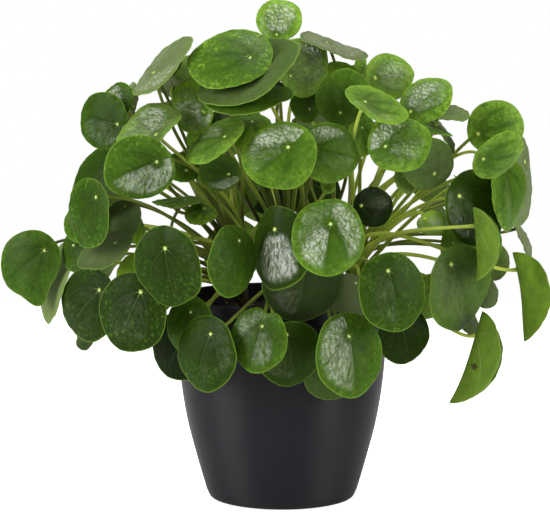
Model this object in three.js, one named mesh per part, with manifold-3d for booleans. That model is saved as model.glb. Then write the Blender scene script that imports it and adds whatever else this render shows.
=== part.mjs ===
// Potted chinese money plant: a clump of rooted stems in a round pot. Each stem carries long thin
// petioles, and each petiole one nearly round leaf that it joins a little off the leaf's centre.
import * as THREE from "three";
import { mergeVertices } from "three/addons/utils/BufferGeometryUtils.js";
import Module from "manifold-3d";

// Pot, millimetres: radius and height up the outer wall, and up the bore
const POT_OUTLINE = [
  [64, 0],
  [69, 2],
  [72.5, 9],
  [82, 42],
  [90.4, 75],
  [96.4, 112],
  [99.4, 152],
  [100, 194],
  [99.4, 195],
];
const POT_BORE = [
  [66, 5],
  [79, 42],
  [93.2, 112],
  [96.4, 152],
  [96.8, 195],
];
const POT_SIDES = 44;
const RIM_HEIGHT = 195;

// Soil
const SOIL_LEVEL = 176;
const SOIL_GAP = 0.35;
const SOIL_BUMP = 1.6;
const SOIL_RINGS = [0, 32, 64];
const HOLE_BOTTOM = 130;
const HOLE_SIDES = 8;

// Woody stems
const STEM_FOOT_RADIUS = 6.5;
const STEM_TOP_RADIUS = 4.5;
const STEM_SIDES = 6;
const HOLE_CLEARANCE = 1.2;
const CROWN_LENGTH = 46;
const STEMS = {
  front: { root: [12, -50], crown: [12, -60, 226] },
  left: { root: [-36, -14], crown: [-38, -20, 228] },
  right: { root: [60, -16], crown: [72, -22, 236] },
  middle: { root: [6, 12], crown: [6, 14, 246] },
  back_left: { root: [-38, 46], crown: [-46, 58, 232] },
  back_right: { root: [44, 50], crown: [54, 60, 232] },
};

// Petioles and blades
const PETIOLE_FOOT_RADIUS = 2.1;
const PETIOLE_TIP_RADIUS = 1.5;
const PETIOLE_SIDES = 3;
const PETIOLE_STEPS = 5;
const SHORT_PETIOLE_STEPS = 4;
const SHORT_PETIOLE = 100;
const BLADE_THICKNESS = 1.2;
const RING_PART = 0.58;
const FUSE_TOLERANCE = 0.04;
const BLADE_LENGTHENING = 1.03;
const BLADE_NARROWING = 0.97;
const SMALL_BLADE = 46;
const MEDIUM_BLADE = 60;
const EDGE_ON = 0.3;
const EYE_NEAREST = 0.1;
const EYE_FURTHEST = 0.34;

// The viewpoint that the leaves were placed from: a long lens, a little above the plant.
// Places in the picture are in its own pixels, from its upper left corner.
const VIEW = { x: -6.6, distance: 2200, height: 470, aim: 232 };
const LENS = 152;
const SENSOR = 36;
const PICTURE_WIDTH = 550;
const PICTURE_MID_X = 275;
const PICTURE_MID_Y = 256;

// The leafy ball: half its width and height, its depth towards the viewer, and its middle
const BALL_HALF_WIDTH = 262;
const BALL_HALF_HEIGHT = 258;
const BALL_DEPTH = 172;
const BALL_MIDDLE = 250;
const LAYER_STEP = 24;

// Leaf forms, as parts of half the leaf's size: dome lowers the whole margin, fold raises both
// halves from the midrib, bend lowers base and tip, saddle and wave lift the margin in turn,
// tip draws the end out, and notch cuts the base in.
const FORMS = {
  dome: { dome: 0.14, fold: 0, bend: 0.03, saddle: 0, wave: 0.03, tip: 0.03, notch: 0 },
  flat: { dome: 0.06, fold: 0, bend: 0, saddle: 0.02, wave: 0.03, tip: 0.02, notch: 0 },
  cup: { dome: -0.1, fold: 0.05, bend: 0, saddle: 0, wave: 0.03, tip: 0.02, notch: 0 },
  ridge: { dome: 0.06, fold: -0.36, bend: 0.05, saddle: 0, wave: 0.02, tip: 0.05, notch: 0 },
  fold: { dome: 0.08, fold: 0.42, bend: 0.04, saddle: 0, wave: 0.02, tip: 0.06, notch: 0 },
  crease: { dome: 0.04, fold: 0.2, bend: 0.02, saddle: 0, wave: 0.02, tip: 0.03, notch: 0 },
  taco: { dome: 0, fold: 0.78, bend: 0.06, saddle: 0, wave: 0.02, tip: 0.1, notch: 0 },
  saddle: { dome: 0.05, fold: 0, bend: 0, saddle: 0.14, wave: 0.02, tip: 0.02, notch: 0 },
  wavy: { dome: 0.08, fold: 0, bend: 0, saddle: 0.04, wave: 0.09, tip: 0.03, notch: 0 },
  point: { dome: 0.12, fold: 0.1, bend: 0.08, saddle: 0, wave: 0.02, tip: 0.14, notch: 0 },
  drawn: {
    dome: 0.12, fold: 0.06, bend: 0.06, saddle: 0, wave: 0.03, tip: 0.32, tipWidth: 0.34, notch: 0,
  },
  heart: { dome: 0.09, fold: 0, bend: 0.02, saddle: 0, wave: 0.04, tip: 0.02, notch: 0.16 },
};

// How wide a drawn out tip and a cut base are round the leaf, in radians
const TIP_WIDTH = 0.42;
const NOTCH_WIDTH = 0.26;

// Leaves that the photo shows: name, picture place of the middle, size in millimetres, how round
// it looks (negative where the underside shows), the picture direction that it faces in degrees,
// picture place of the eye, layer from the front, stem, form and, where the tip isn't straight
// across from the eye, how far it is turned round the leaf in degrees.
const LEAVES = [
  ["L1", 31, 268, 62, 0.88, 180, 46, 255, 0.8, "left", "drawn", 66],
  ["L2", 81, 223, 36, 0.85, 170, 88, 214, 1.9, "left", "dome"],
  ["L3", 89, 213, 63, 0.58, 185, 101, 191, 0, "left", "dome"],
  ["L4", 101, 180, 65, 0.7, 155, 112, 168, 2.2, "left", "dome"],
  ["L5", 104, 121, 54, 0.78, 180, 122, 125, 0.4, "left", "dome"],
  ["L6", 139.5, 167, 62, 0.93, 250, 157, 160, 0, "left", "saddle"],
  ["L7", 149, 128, 64, 0.5, 120, 160, 139, 1, "left", "wavy"],
  ["L8", 118, 100, 35, 0.75, 150, 122, 103, 1.6, "left", "dome"],
  ["L8b", 131, 102, 38, -0.3, 350, 134, 108, 2.6, "left", "flat"],
  ["L9", 163, 66, 71, 0.3, 136, 155, 74, 0.6, "left", "flat"],
  ["L10", 163, 75, 44, 0.24, 132, 159, 80, 1.4, "left", "flat"],
  ["L11", 171, 84, 30, -0.75, 60, 173, 88, 2.4, "left", "flat"],
  ["L12", 194, 67, 40, 0.6, 110, 198, 72, 1.6, "middle", "dome"],
  ["L13", 230, 59, 75, 0.68, 109, 250, 60, 0, "middle", "dome"],
  ["L14", 249, 72, 97, 0.46, 119, 238, 78, 0.7, "middle", "flat"],
  ["L15", 301, 68, 56, 0.84, 30, 280, 84, 1.1, "middle", "ridge"],
  ["L16", 249, 96, 78, 0.4, 94, 262, 92, 1.1, "middle", "dome"],
  ["L17", 279, 21, 43, 0.87, 90, 276, 37, 1.6, "middle", "crease"],
  ["L18", 334, 46, 62, 0.2, 71, 332, 49, 1.2, "middle", "flat"],
  ["L19", 361, 74, 38, 0.32, 0, 360, 66, 3.2, "back_right", "dome"],
  ["L20", 343.5, 97, 51, 0.96, 270, 340, 111, 0.8, "middle", "dome"],
  ["L21", 339, 82, 42, 0.85, 90, 341, 88, 2, "middle", "dome"],
  ["L22", 377, 105, 60, 0.42, 63, 365, 104, 0, "right", "flat"],
  ["L23", 390, 77, 45, 0.9, 20, 371, 79, 1.2, "right", "ridge"],
  ["L24", 426, 101, 50, 0.78, 120, 411, 114, 0.4, "right", "dome"],
  ["L25", 446, 113, 42, 0.35, 84, 440, 112, 2, "right", "dome"],
  ["L26", 399.5, 144.5, 54, 0.94, 90, 386, 147, 0, "right", "wavy"],
  ["L27", 432, 129, 38, 0.18, 72, 428, 129, 2, "right", "flat"],
  ["L28", 442, 136, 36, 0.2, 36, 438, 126, 3, "back_right", "point"],
  ["L29", 428, 164, 50, 0.86, 320, 433, 172, 1.5, "right", "dome"],
  ["R1", 495.5, 128, 52, 0.97, 10, 478, 134, 1, "right", "dome"],
  ["R2", 498, 155, 52, 0.62, 315, 480, 158, 0, "right", "dome"],
  ["R3", 509, 194, 67, 0.47, 0, 505, 172, 0.8, "right", "point"],
  ["R4", 520, 181, 82, 0.27, 0, 518, 162, 1.8, "right", "dome"],
  ["R4b", 522, 243, 38, 0.2, 24, 516, 230, 2.2, "back_right", "point"],
  ["R5", 475, 208, 72, 0.76, 0, 456, 195, 1.6, "right", "dome"],
  ["R6", 469, 246, 62, 0.8, 350, 447, 242, 2.6, "back_right", "dome"],
  ["R7", 460, 288, 78, 0.68, 340, 453, 264, 1, "right", "point"],
  ["R8", 487, 244, 61, 0.04, 4, 477, 228, 0, "right", "taco"],
  ["R9", 432, 296, 46, 0.8, 300, 436, 284, 2, "right", "dome"],
  ["R10", 485, 292, 30, -0.8, 10, 482, 286, 2.4, "back_right", "flat"],
  ["R11", 494, 262, 34, -0.85, 350, 492, 256, 3, "back_right", "flat"],
  ["R12", 532, 297, 77, -0.02, 6, 517, 274, 1.2, "right", "taco"],
  ["R13", 476, 357, 82, 0.03, 342, 470, 332, 0.2, "right", "taco"],
  ["C1", 279, 155.5, 66, 0.9, 90, 288, 148, 0, "middle", "saddle"],
  ["C2", 328, 153, 55, 0.95, 0, 314, 150, 0.6, "middle", "dome"],
  ["C3", 214.5, 141, 61, 0.42, 128, 227, 139, 0.6, "left", "dome"],
  ["C4", 248, 130, 44, 0.75, 90, 252, 124, 2, "middle", "dome"],
  ["C5", 193, 107, 50, 0.76, 180, 205, 112, 1.5, "left", "wavy"],
  ["C6", 199, 139, 24, 0.8, 90, 201, 145, 2.4, "left", "flat"],
  ["C7", 219, 121, 28, 0.6, 100, 221, 127, 2.4, "middle", "dome"],
  ["C8", 220, 173, 37, 0.92, 270, 229, 175, 1.5, "left", "cup"],
  ["C9", 231.5, 261.5, 62, 0.69, 0, 237, 241, 0.4, "left", "dome"],
  ["C10", 168, 266, 70, 0.82, 215, 165, 248, 0, "left", "point", -16],
  ["C11", 137, 271, 40, 0.8, 130, 141, 266, 1.4, "left", "dome"],
  ["C12", 133, 312, 71, 0.86, 200, 142, 291, 0, "left", "dome"],
  ["C13", 90, 305, 69, 0.72, 190, 102, 290, 1.1, "left", "dome"],
  ["C14", 105, 250, 54, 0.5, 120, 116, 244, 1.6, "left", "flat"],
  ["C15", 61, 281, 77, 0.3, 161, 70, 258, 2, "left", "point", 0],
  ["C43", 81, 250, 44, 0.75, 160, 76, 246, 2.6, "left", "dome"],
  ["C16", 122, 222, 44, 0.75, 150, 126, 208, 2.2, "left", "dome"],
  ["C17", 137, 228, 32, 0.45, 15, 138, 220, 2.8, "left", "dome"],
  ["C18", 207, 354, 67, 0.78, 190, 213, 334, 0.4, "front", "dome"],
  ["C19", 181, 346, 64, 0.8, 200, 190, 330, 1.6, "left", "dome"],
  ["C20", 190, 325, 52, 0.8, 185, 193, 312, 1, "left", "dome"],
  ["C21", 259, 340.5, 57, 0.9, 180, 263, 327, 0, "front", "heart"],
  ["C22", 290, 354, 62, 0.86, 300, 286, 333, 1, "front", "dome"],
  ["C23", 331, 373, 52, 0.9, 290, 334, 358, 1.7, "front", "dome"],
  ["C24", 349, 355.5, 73, 0.84, 0, 347, 337, 0, "front", "dome"],
  ["C25", 283, 248, 71, 0.76, 180, 284, 230, 0.7, "front", "ridge"],
  ["C26", 328, 237.5, 67, 0.97, 60, 330, 225, 0, "front", "wavy"],
  ["C27", 302, 283, 74, 0.9, 280, 305, 266, 1.6, "front", "dome"],
  ["C28", 351, 295, 46, 0.8, 250, 358, 280, 1.6, "right", "flat"],
  ["C29", 392, 292, 68, 0.9, 0, 387, 271, 0, "right", "dome"],
  ["C30", 403, 336, 52, 0.88, 320, 400, 322, 1.3, "right", "dome"],
  ["C31", 373, 207, 38, 0.92, 0, 361, 205, 2.2, "right", "dome"],
  ["C32", 431, 223, 26, 0.85, 290, 421, 215, 2, "right", "ridge"],
  ["C33", 404, 180, 27, 0.6, 20, 402, 177, 2.6, "right", "flat"],
  ["C34", 306, 103, 36, 0.8, 0, 308, 109, 3, "middle", "dome"],
  ["C35", 362, 135, 38, 0.7, 0, 361, 128, 3, "back_right", "flat"],
  ["C36", 183, 167, 34, 0.8, 90, 186, 172, 2.6, "left", "dome"],
  ["C37", 178, 202, 46, 0.2, 93, 185, 203, 3.2, "back_left", "flat"],
  ["C38", 201, 214, 30, 0.65, 90, 205, 211, 3.4, "back_left", "dome"],
  ["C39", 328, 187, 14, 0.7, 60, 327, 190, 1.6, "middle", "fold"],
  ["M1", 228, 192, 62, -0.9, 90, 230, 184, 10.5, "back_left", "dome"],
  ["M2", 271, 189, 58, -0.85, 90, 271, 182, 11, "middle", "dome"],
  ["M3", 313, 193, 56, -0.9, 90, 311, 186, 10.5, "back_right", "dome"],
];

// Leaves round the back, which the photo doesn't show, follow a seeded rule.
const BACK_LEAVES = 26;
const BACK_TRIES = 420;
const BACK_SEED = 20817;
const BACK_HALF_WIDTH = 212;
const BACK_DEPTH = 186;
const BACK_HALF_HEIGHT = 196;
const BACK_MIDDLE = [0, 6, 236];
const BACK_LOWEST = -22;
const BACK_HIGHEST = 74;
const BACK_SMALLEST = 54;
const BACK_LARGEST = 80;
const BACK_SPACING = 46;
const GOLDEN_TURN = Math.PI * (3 - Math.sqrt(5));
const COVER_REACH = 1.12;
const COVER_LEAST = 0.8;

// Gaps where the photo shows daylight through the plant: picture middle and half sizes
const DAYLIGHT = [
  [176, 216, 44, 26],
  [366, 180, 36, 24],
  [418, 250, 30, 20],
  [278, 106, 24, 14],
  [174, 190, 12, 12],
  [340, 61, 16, 8],
  [456, 138, 20, 26],
  [505, 320, 16, 36],
];

// Clearances
const BLADE_GAP = 3.2;
const STEM_MATE_GAP = 1.4;
const POT_CLEARANCE = 8;
const SETTLE_PASSES = 90;
const SETTLE_STEP = 4;
const PETIOLE_CLEARANCE = 3.6;
const PETIOLE_POT_GAP = 3.6;
const PETIOLE_SPACING = 6.5;
const STEM_SPACING = 9;
const MATE_SPACING = 3.8;
const MATE_WEIGHT = 0.25;

// Ways a petiole can run: how far it rises and leans out of the crown, how far behind the leaf
// it turns in, how much it lifts there, and how far it swings aside, as parts of its span
const ROUTES = [
  { rise: 0.4, lean: 0.12, reach: 0.26, lift: 0, swing: 0 },
  { rise: 0.3, lean: 0.25, reach: 0.3, lift: 0, swing: 0 },
  { rise: 0.55, lean: 0.08, reach: 0.2, lift: 0.05, swing: 0 },
  { rise: 0.35, lean: 0.15, reach: 0.14, lift: 0.12, swing: 0 },
  { rise: 0.35, lean: 0.15, reach: 0.2, lift: -0.12, swing: 0 },
  { rise: 0.4, lean: 0.12, reach: 0.24, lift: 0, swing: 0.16 },
  { rise: 0.4, lean: 0.12, reach: 0.24, lift: 0, swing: -0.16 },
  { rise: 0.2, lean: 0.35, reach: 0.4, lift: 0, swing: 0 },
  { rise: 0.6, lean: 0.15, reach: 0.1, lift: 0.25, swing: 0 },
  { rise: 0.5, lean: 0.2, reach: 0.14, lift: 0.1, swing: 0.3 },
  { rise: 0.5, lean: 0.2, reach: 0.14, lift: 0.1, swing: -0.3 },
  { rise: 0.7, lean: 0.3, reach: 0.12, lift: 0.3, swing: 0.14 },
  { rise: 0.7, lean: 0.3, reach: 0.12, lift: 0.3, swing: -0.14 },
  { rise: 0.15, lean: 0.1, reach: 0.5, lift: -0.1, swing: 0 },
  { rise: 0.15, lean: 0.1, reach: 0.34, lift: 0.1, swing: 0.35 },
  { rise: 0.15, lean: 0.1, reach: 0.34, lift: 0.1, swing: -0.35 },
  { rise: 0.3, lean: 0.5, reach: 0.05, lift: 0.25, swing: 0 },
  { rise: 0.35, lean: 0.62, reach: 0, lift: 0.34, swing: 0 },
  { rise: 0.45, lean: 0.8, reach: 0, lift: 0.45, swing: 0 },
  { rise: 0.3, lean: 0.2, reach: 0.1, lift: -0.25, swing: 0 },
  { rise: 0.5, lean: 0, reach: 0.3, lift: -0.2, swing: 0.25 },
  { rise: 0.5, lean: 0, reach: 0.3, lift: -0.2, swing: -0.25 },
  { rise: 0.8, lean: 0, reach: 0.2, lift: 0, swing: 0.5 },
  { rise: 0.8, lean: 0, reach: 0.2, lift: 0, swing: -0.5 },
  { rise: 0.9, lean: 0.5, reach: 0, lift: 0.5, swing: 0 },
  { rise: 1.1, lean: 0.35, reach: 0.05, lift: 0.6, swing: 0 },
];
const ROUTE_SAMPLES = 26;
const LEAST_ARRIVAL = 0.36;
const MOST_LOOP = 36;

// Vector helpers
const add = (a, b, s = 1) => [a[0] + b[0] * s, a[1] + b[1] * s, a[2] + b[2] * s];
const dot = (a, b) => a[0] * b[0] + a[1] * b[1] + a[2] * b[2];
const cross = (a, b) => [
  a[1] * b[2] - a[2] * b[1],
  a[2] * b[0] - a[0] * b[2],
  a[0] * b[1] - a[1] * b[0],
];
const length = (a) => Math.sqrt(dot(a, a));
const scaled = (a, s) => [a[0] * s, a[1] * s, a[2] * s];
const unit = (a) => scaled(a, 1 / Math.max(length(a), 1e-9));
const radians = (degrees) => (degrees * Math.PI) / 180;

// Picture geometry
const PITCH = Math.atan2(VIEW.height - VIEW.aim, VIEW.distance);
const PIXELS = (LENS / SENSOR) * PICTURE_WIDTH;
const VIEWER = [VIEW.x, -VIEW.distance, VIEW.height];
const AHEAD = [0, Math.cos(PITCH), -Math.sin(PITCH)];
const UPRIGHT = [0, Math.sin(PITCH), Math.cos(PITCH)];

// Direction from the viewer through a place in the picture, one unit ahead.
function sight(x, y) {
  const across = (x - PICTURE_MID_X) / PIXELS;
  const upward = (PICTURE_MID_Y - y) / PIXELS;
  return add(add(AHEAD, [1, 0, 0], across), UPRIGHT, upward);
}

// Point behind a place in the picture, at a given depth in the part's own frame.
function behindPicture(x, y, depth) {
  const way = sight(x, y);
  return add(VIEWER, way, (depth + VIEW.distance) / way[1]);
}

// Picture place of a point.
function inPicture(point) {
  const from = add(point, VIEWER, -1);
  const far = dot(from, AHEAD);
  return [
    PICTURE_MID_X + (from[0] / far) * PIXELS,
    PICTURE_MID_Y - (dot(from, UPRIGHT) / far) * PIXELS,
  ];
}

// Seeded draw between 0 and 1.
let drawState = BACK_SEED;
function draw() {
  drawState = (Math.imul(drawState, 1664525) + 1013904223) >>> 0;
  return drawState / 4294967296;
}

// Depth of the leafy ball's front surface behind a place in the picture.
function ballDepth(x, y) {
  const near = behindPicture(x, y, -100);
  const across = near[0] / BALL_HALF_WIDTH;
  const upward = (near[2] - BALL_MIDDLE) / BALL_HALF_HEIGHT;
  const left = Math.max(0.03, 1 - across * across - upward * upward);
  return -BALL_DEPTH * Math.sqrt(left);
}

// A leaf of the photo, with its axes: u from eye to tip, v across, n out of its upper face.
function shownLeaf(row, index) {
  const [name, x, y, size, roundness, faces, eyeX, eyeY, layer, stem, form, tipTurn = 0] = row;
  const centre = behindPicture(x, y, ballDepth(x, y) + layer * LAYER_STEP);
  const slide = unit(sight(x, y));
  const toViewer = scaled(slide, -1);
  const right = unit(cross(UPRIGHT, toViewer));
  const up = cross(toViewer, right);
  const turned = Math.sqrt(1 - roundness * roundness);
  const side = add(scaled(right, Math.cos(radians(faces))), up, Math.sin(radians(faces)));
  const n = unit(add(scaled(toViewer, roundness), side, turned));
  const scale = length(add(centre, VIEWER, -1)) / PIXELS;
  const long = cross(toViewer, side);
  const shown = add(scaled(right, (eyeX - x) * scale), up, (y - eyeY) * scale);
  const flat = Math.abs(roundness) < EDGE_ON ? scaled(long, dot(shown, long)) : shown;
  const steepest = (2.2 * size) / 2;
  const raw = -dot(flat, n) / dot(toViewer, n);
  const towards = Math.max(-steepest, Math.min(steepest, raw));
  const inPlane = add(flat, toViewer, towards);
  const toEye = add(inPlane, n, -dot(inPlane, n));
  const offset = length(toEye) / size;
  const eye = Math.max(EYE_NEAREST, Math.min(EYE_FURTHEST, offset));
  const u = scaled(unit(toEye), -1);
  const leaf = leafOf(name, stem, centre, n, u, size, eye, form, slide, index);
  leaf.tipTurn = radians(tipTurn);
  for (let pass = 0; pass < 2; pass += 1) {
    const [seenX, seenY] = seenMiddle(leaf);
    leaf.centre = add(leaf.centre, right, (x - seenX) * scale);
    leaf.centre = add(leaf.centre, up, (seenY - y) * scale);
  }
  return leaf;
}

function leafOf(name, stem, centre, n, u, size, eye, form, slide, index) {
  const phase = (index * GOLDEN_TURN) % (2 * Math.PI);
  const half = size / 2;
  return {
    name, stem, centre, n, u, v: cross(n, u), size, half, eye: eye * size,
    form: FORMS[form], slide, phase, order: centre[1], tipTurn: 0,
  };
}

// Middle of the box round the leaf's outline in the picture.
function seenMiddle(leaf) {
  const low = [Infinity, Infinity];
  const high = [-Infinity, -Infinity];
  for (let k = 0; k < 24; k += 1) {
    const [along, aside] = inLeaf(leaf, 1, -Math.PI + (k * Math.PI) / 12);
    const place = inPicture(onLeaf(leaf, along, aside, 0));
    for (let axis = 0; axis < 2; axis += 1) {
      low[axis] = Math.min(low[axis], place[axis]);
      high[axis] = Math.max(high[axis], place[axis]);
    }
  }
  return [(low[0] + high[0]) / 2, (low[1] + high[1]) / 2];
}

// Reach of the leaf's outline from its middle at an angle from the tip.
function reachOf(leaf, angle) {
  const fromBase = Math.PI - Math.abs(angle);
  const fromTip = Math.atan2(Math.sin(angle - leaf.tipTurn), Math.cos(angle - leaf.tipTurn));
  const drawn = leaf.form.tip * Math.exp(-((fromTip / (leaf.form.tipWidth ?? TIP_WIDTH)) ** 2));
  const cut = leaf.form.notch * Math.exp(-((fromBase / NOTCH_WIDTH) ** 2));
  const wobble = 0.012 * Math.cos(5 * angle + leaf.phase);
  return leaf.half * (1 + drawn - cut + wobble);
}

// Place in the leaf's plane at part of the way out to its outline.
function inLeaf(leaf, part, angle) {
  const reach = part * reachOf(leaf, angle);
  return [
    reach * Math.cos(angle) * BLADE_LENGTHENING,
    reach * Math.sin(angle) * BLADE_NARROWING,
  ];
}

// Height of the blade over the leaf's plane.
function riseOf(leaf, along, aside) {
  const a = along / leaf.half;
  const b = aside / leaf.half;
  const out = a * a + b * b;
  const f = leaf.form;
  const turn = Math.atan2(b, a);
  const folded = f.fold * (Math.sqrt(b * b + 0.01) - 0.1);
  const waved = f.wave * out * Math.cos(3 * turn + leaf.phase);
  return leaf.half * (folded + waved - f.dome * out - f.bend * a * a + f.saddle * (a * a - b * b));
}

// Point on the leaf, lifted off its middle surface.
function onLeaf(leaf, along, aside, lifted) {
  const high = riseOf(leaf, along, aside) + lifted;
  return add(add(add(leaf.centre, leaf.u, along), leaf.v, aside), leaf.n, high);
}

// How far a point stands over the leaf, or nothing where it is beside it.
function overLeaf(leaf, point, margin) {
  const from = add(point, leaf.centre, -1);
  const along = dot(from, leaf.u);
  const aside = dot(from, leaf.v);
  const reach = Math.sqrt(
    (along / BLADE_LENGTHENING) ** 2 + (aside / BLADE_NARROWING) ** 2,
  );
  if (reach > leaf.half * 1.2 + margin) return null;
  const angle = Math.atan2(aside / BLADE_NARROWING, along / BLADE_LENGTHENING);
  if (reach > reachOf(leaf, angle) + margin) return null;
  return dot(from, leaf.n) - riseOf(leaf, along, aside);
}

// Points spread over the leaf, for the tests of what touches what.
function spread(leaf) {
  const points = [onLeaf(leaf, 0, 0, 0)];
  for (const part of [0.5, 0.8, 1]) {
    for (let k = 0; k < 12; k += 1) {
      const angle = -Math.PI + (k * Math.PI) / 6;
      const [along, aside] = inLeaf(leaf, part, angle);
      points.push(onLeaf(leaf, along, aside, 0));
    }
  }
  return points;
}

// How deep one leaf's points are caught in another, with the gap that they keep.
function caught(leaf, points, gap) {
  let low = Infinity;
  let high = -Infinity;
  for (const point of points) {
    const over = overLeaf(leaf, point, gap);
    if (over === null) continue;
    low = Math.min(low, over);
    high = Math.max(high, over);
  }
  if (low > high || low >= gap || high <= -gap) return 0;
  return Math.min(gap - low, high + gap);
}

// Radius of a turned outline at a height.
function radiusAt(outline, height) {
  for (let k = 1; k < outline.length; k += 1) {
    const [lowRadius, low] = outline[k - 1];
    const [highRadius, high] = outline[k];
    if (height <= high) return lowRadius + ((highRadius - lowRadius) * (height - low)) / (high - low);
  }
  return outline[outline.length - 1][0];
}

// How deep a point is in the pot or under the soil, with a margin.
function inPot(point, margin) {
  const [x, y, z] = point;
  const out = Math.sqrt(x * x + y * y);
  if (z > RIM_HEIGHT + margin) return 0;
  const outside = radiusAt(POT_OUTLINE, Math.max(0, Math.min(z, RIM_HEIGHT))) + margin - out;
  if (outside <= 0) return 0;
  if (z > SOIL_LEVEL + margin && out < radiusAt(POT_BORE, RIM_HEIGHT) - margin) return 0;
  return Math.min(outside, RIM_HEIGHT + margin - z + 1);
}

// Slides leaves along their lines of sight until none is caught in another or in the pot.
function settle(leaves) {
  for (let pass = 0; pass < SETTLE_PASSES; pass += 1) {
    const pushes = leaves.map(() => 0);
    const points = leaves.map((leaf) => spread(leaf));
    for (let i = 0; i < leaves.length; i += 1) {
      for (let j = i + 1; j < leaves.length; j += 1) {
        const a = leaves[i];
        const b = leaves[j];
        const apart = length(add(a.centre, b.centre, -1));
        if (apart > (a.half + b.half) * 1.15 + BLADE_GAP) continue;
        const gap = a.stem === b.stem ? STEM_MATE_GAP : BLADE_GAP;
        const deep = Math.max(caught(a, points[j], gap), caught(b, points[i], gap));
        if (deep <= 0) continue;
        const way = Math.min(SETTLE_STEP, deep * 0.5 + 0.2) * (a.order <= b.order ? 1 : -1);
        pushes[i] -= way;
        pushes[j] += way;
      }
    }
    for (let i = 0; i < leaves.length; i += 1) {
      const leaf = leaves[i];
      const deepest = Math.max(...points[i].map((point) => inPot(point, POT_CLEARANCE)));
      const outward = leaf.centre[1] < 0 ? -1 : 1;
      const moved = Math.max(-SETTLE_STEP, Math.min(SETTLE_STEP, pushes[i])) * 0.6;
      const cleared = deepest > 0 ? outward * Math.min(SETTLE_STEP, deepest) : 0;
      leaf.centre = add(leaf.centre, leaf.slide, moved + cleared);
    }
  }
}

// Whether a place in the picture is behind a leaf that the photo shows.
function covered(place, rows) {
  return rows.some((row) => {
    const [, x, y, size, roundness, faces] = row;
    const angle = radians(faces);
    const across = place[0] - x;
    const upward = y - place[1];
    const short = across * Math.cos(angle) + upward * Math.sin(angle);
    const long = upward * Math.cos(angle) - across * Math.sin(angle);
    const half = (size / 2) * COVER_REACH * 1.08;
    return (short / (half * Math.abs(roundness))) ** 2 + (long / half) ** 2 < 1;
  });
}

// Leaves round the back: even directions, each facing out and up, kept behind the shown ones.
function backLeaves(first) {
  const leaves = [];
  for (let k = 0; k < BACK_TRIES && leaves.length < BACK_LEAVES; k += 1) {
    const turn = (k * GOLDEN_TURN) % (2 * Math.PI);
    const spreadUp = draw();
    const height = radians(BACK_LOWEST + (BACK_HIGHEST - BACK_LOWEST) * spreadUp);
    const size = BACK_SMALLEST + (BACK_LARGEST - BACK_SMALLEST) * draw();
    const inward = 1 - 0.16 * draw();
    const tilt = radians(10 + 34 * draw());
    const roll = radians(-50 + 100 * draw());
    const way = [
      Math.cos(turn) * Math.cos(height),
      Math.sin(turn) * Math.cos(height),
      Math.sin(height),
    ];
    if (way[1] < 0.12) continue;
    const centre = [
      BACK_MIDDLE[0] + way[0] * BACK_HALF_WIDTH * inward,
      BACK_MIDDLE[1] + way[1] * BACK_DEPTH * inward,
      BACK_MIDDLE[2] + way[2] * BACK_HALF_HEIGHT * inward,
    ];
    const n = unit(add(scaled(way, Math.cos(tilt)), [0, 0, 1], Math.sin(tilt)));
    const level = unit(cross([0, 0, 1], n));
    const downhill = cross(level, n);
    const u = unit(add(scaled(downhill, -Math.cos(roll)), level, Math.sin(roll)));
    const fits = u[2] > 0 ? scaled(u, -1) : u;
    const stem = height > radians(58) ? "middle" : centre[0] < 0 ? "back_left" : "back_right";
    const form = ["dome", "dome", "wavy", "flat", "point"][Math.floor(draw() * 5)];
    const leaf = leafOf(`B${leaves.length + 1}`, stem, centre, n, fits, size, 0.2, form, way, first + k);
    const close = leaves.some(
      (other) => length(add(other.centre, centre, -1)) < BACK_SPACING,
    );
    if (close) continue;
    const places = spread(leaf).map((point) => inPicture(point));
    const hidden = places.filter((place) => covered(place, LEAVES)).length;
    const lit = places.some((place) =>
      DAYLIGHT.some(
        ([x, y, wide, high]) => ((place[0] - x) / wide) ** 2 + ((place[1] - y) / high) ** 2 < 1,
      ),
    );
    if (lit || hidden < places.length * COVER_LEAST) continue;
    leaves.push(leaf);
  }
  return leaves;
}

// Point on a woody stem's axis at a height.
function stemAxis(stem, height) {
  const { root, crown } = STEMS[stem];
  const part = Math.max(0, (height - SOIL_LEVEL) / (crown[2] - SOIL_LEVEL));
  return [
    root[0] + (crown[0] - root[0]) * part,
    root[1] + (crown[1] - root[1]) * part,
    height,
  ];
}

// Points along a petiole from the crown to the leaf's eye, for one way of running.
function petiolePath(leaf, foot, route, steps) {
  const eye = onLeaf(leaf, -leaf.eye, 0, 0);
  const span = length(add(eye, foot, -1));
  const outward = unit([eye[0] - foot[0], eye[1] - foot[1], 0]);
  const aside = [-outward[1], outward[0], 0];
  const turned = route.swing * span;
  let first = add(add(foot, [0, 0, 1], route.rise * span), outward, route.lean * span);
  first = add(first, aside, turned);
  let last = add(add(eye, leaf.n, -route.reach * span), [0, 0, 1], route.lift * span);
  last = add(last, aside, turned * 0.6);
  const points = [];
  for (let k = 0; k <= steps; k += 1) {
    const t = k / steps;
    const s = 1 - t;
    let point = scaled(foot, s * s * s);
    point = add(point, first, 3 * s * s * t);
    point = add(point, last, 3 * s * t * t);
    points.push(add(point, eye, t * t * t));
  }
  return points;
}

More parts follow.
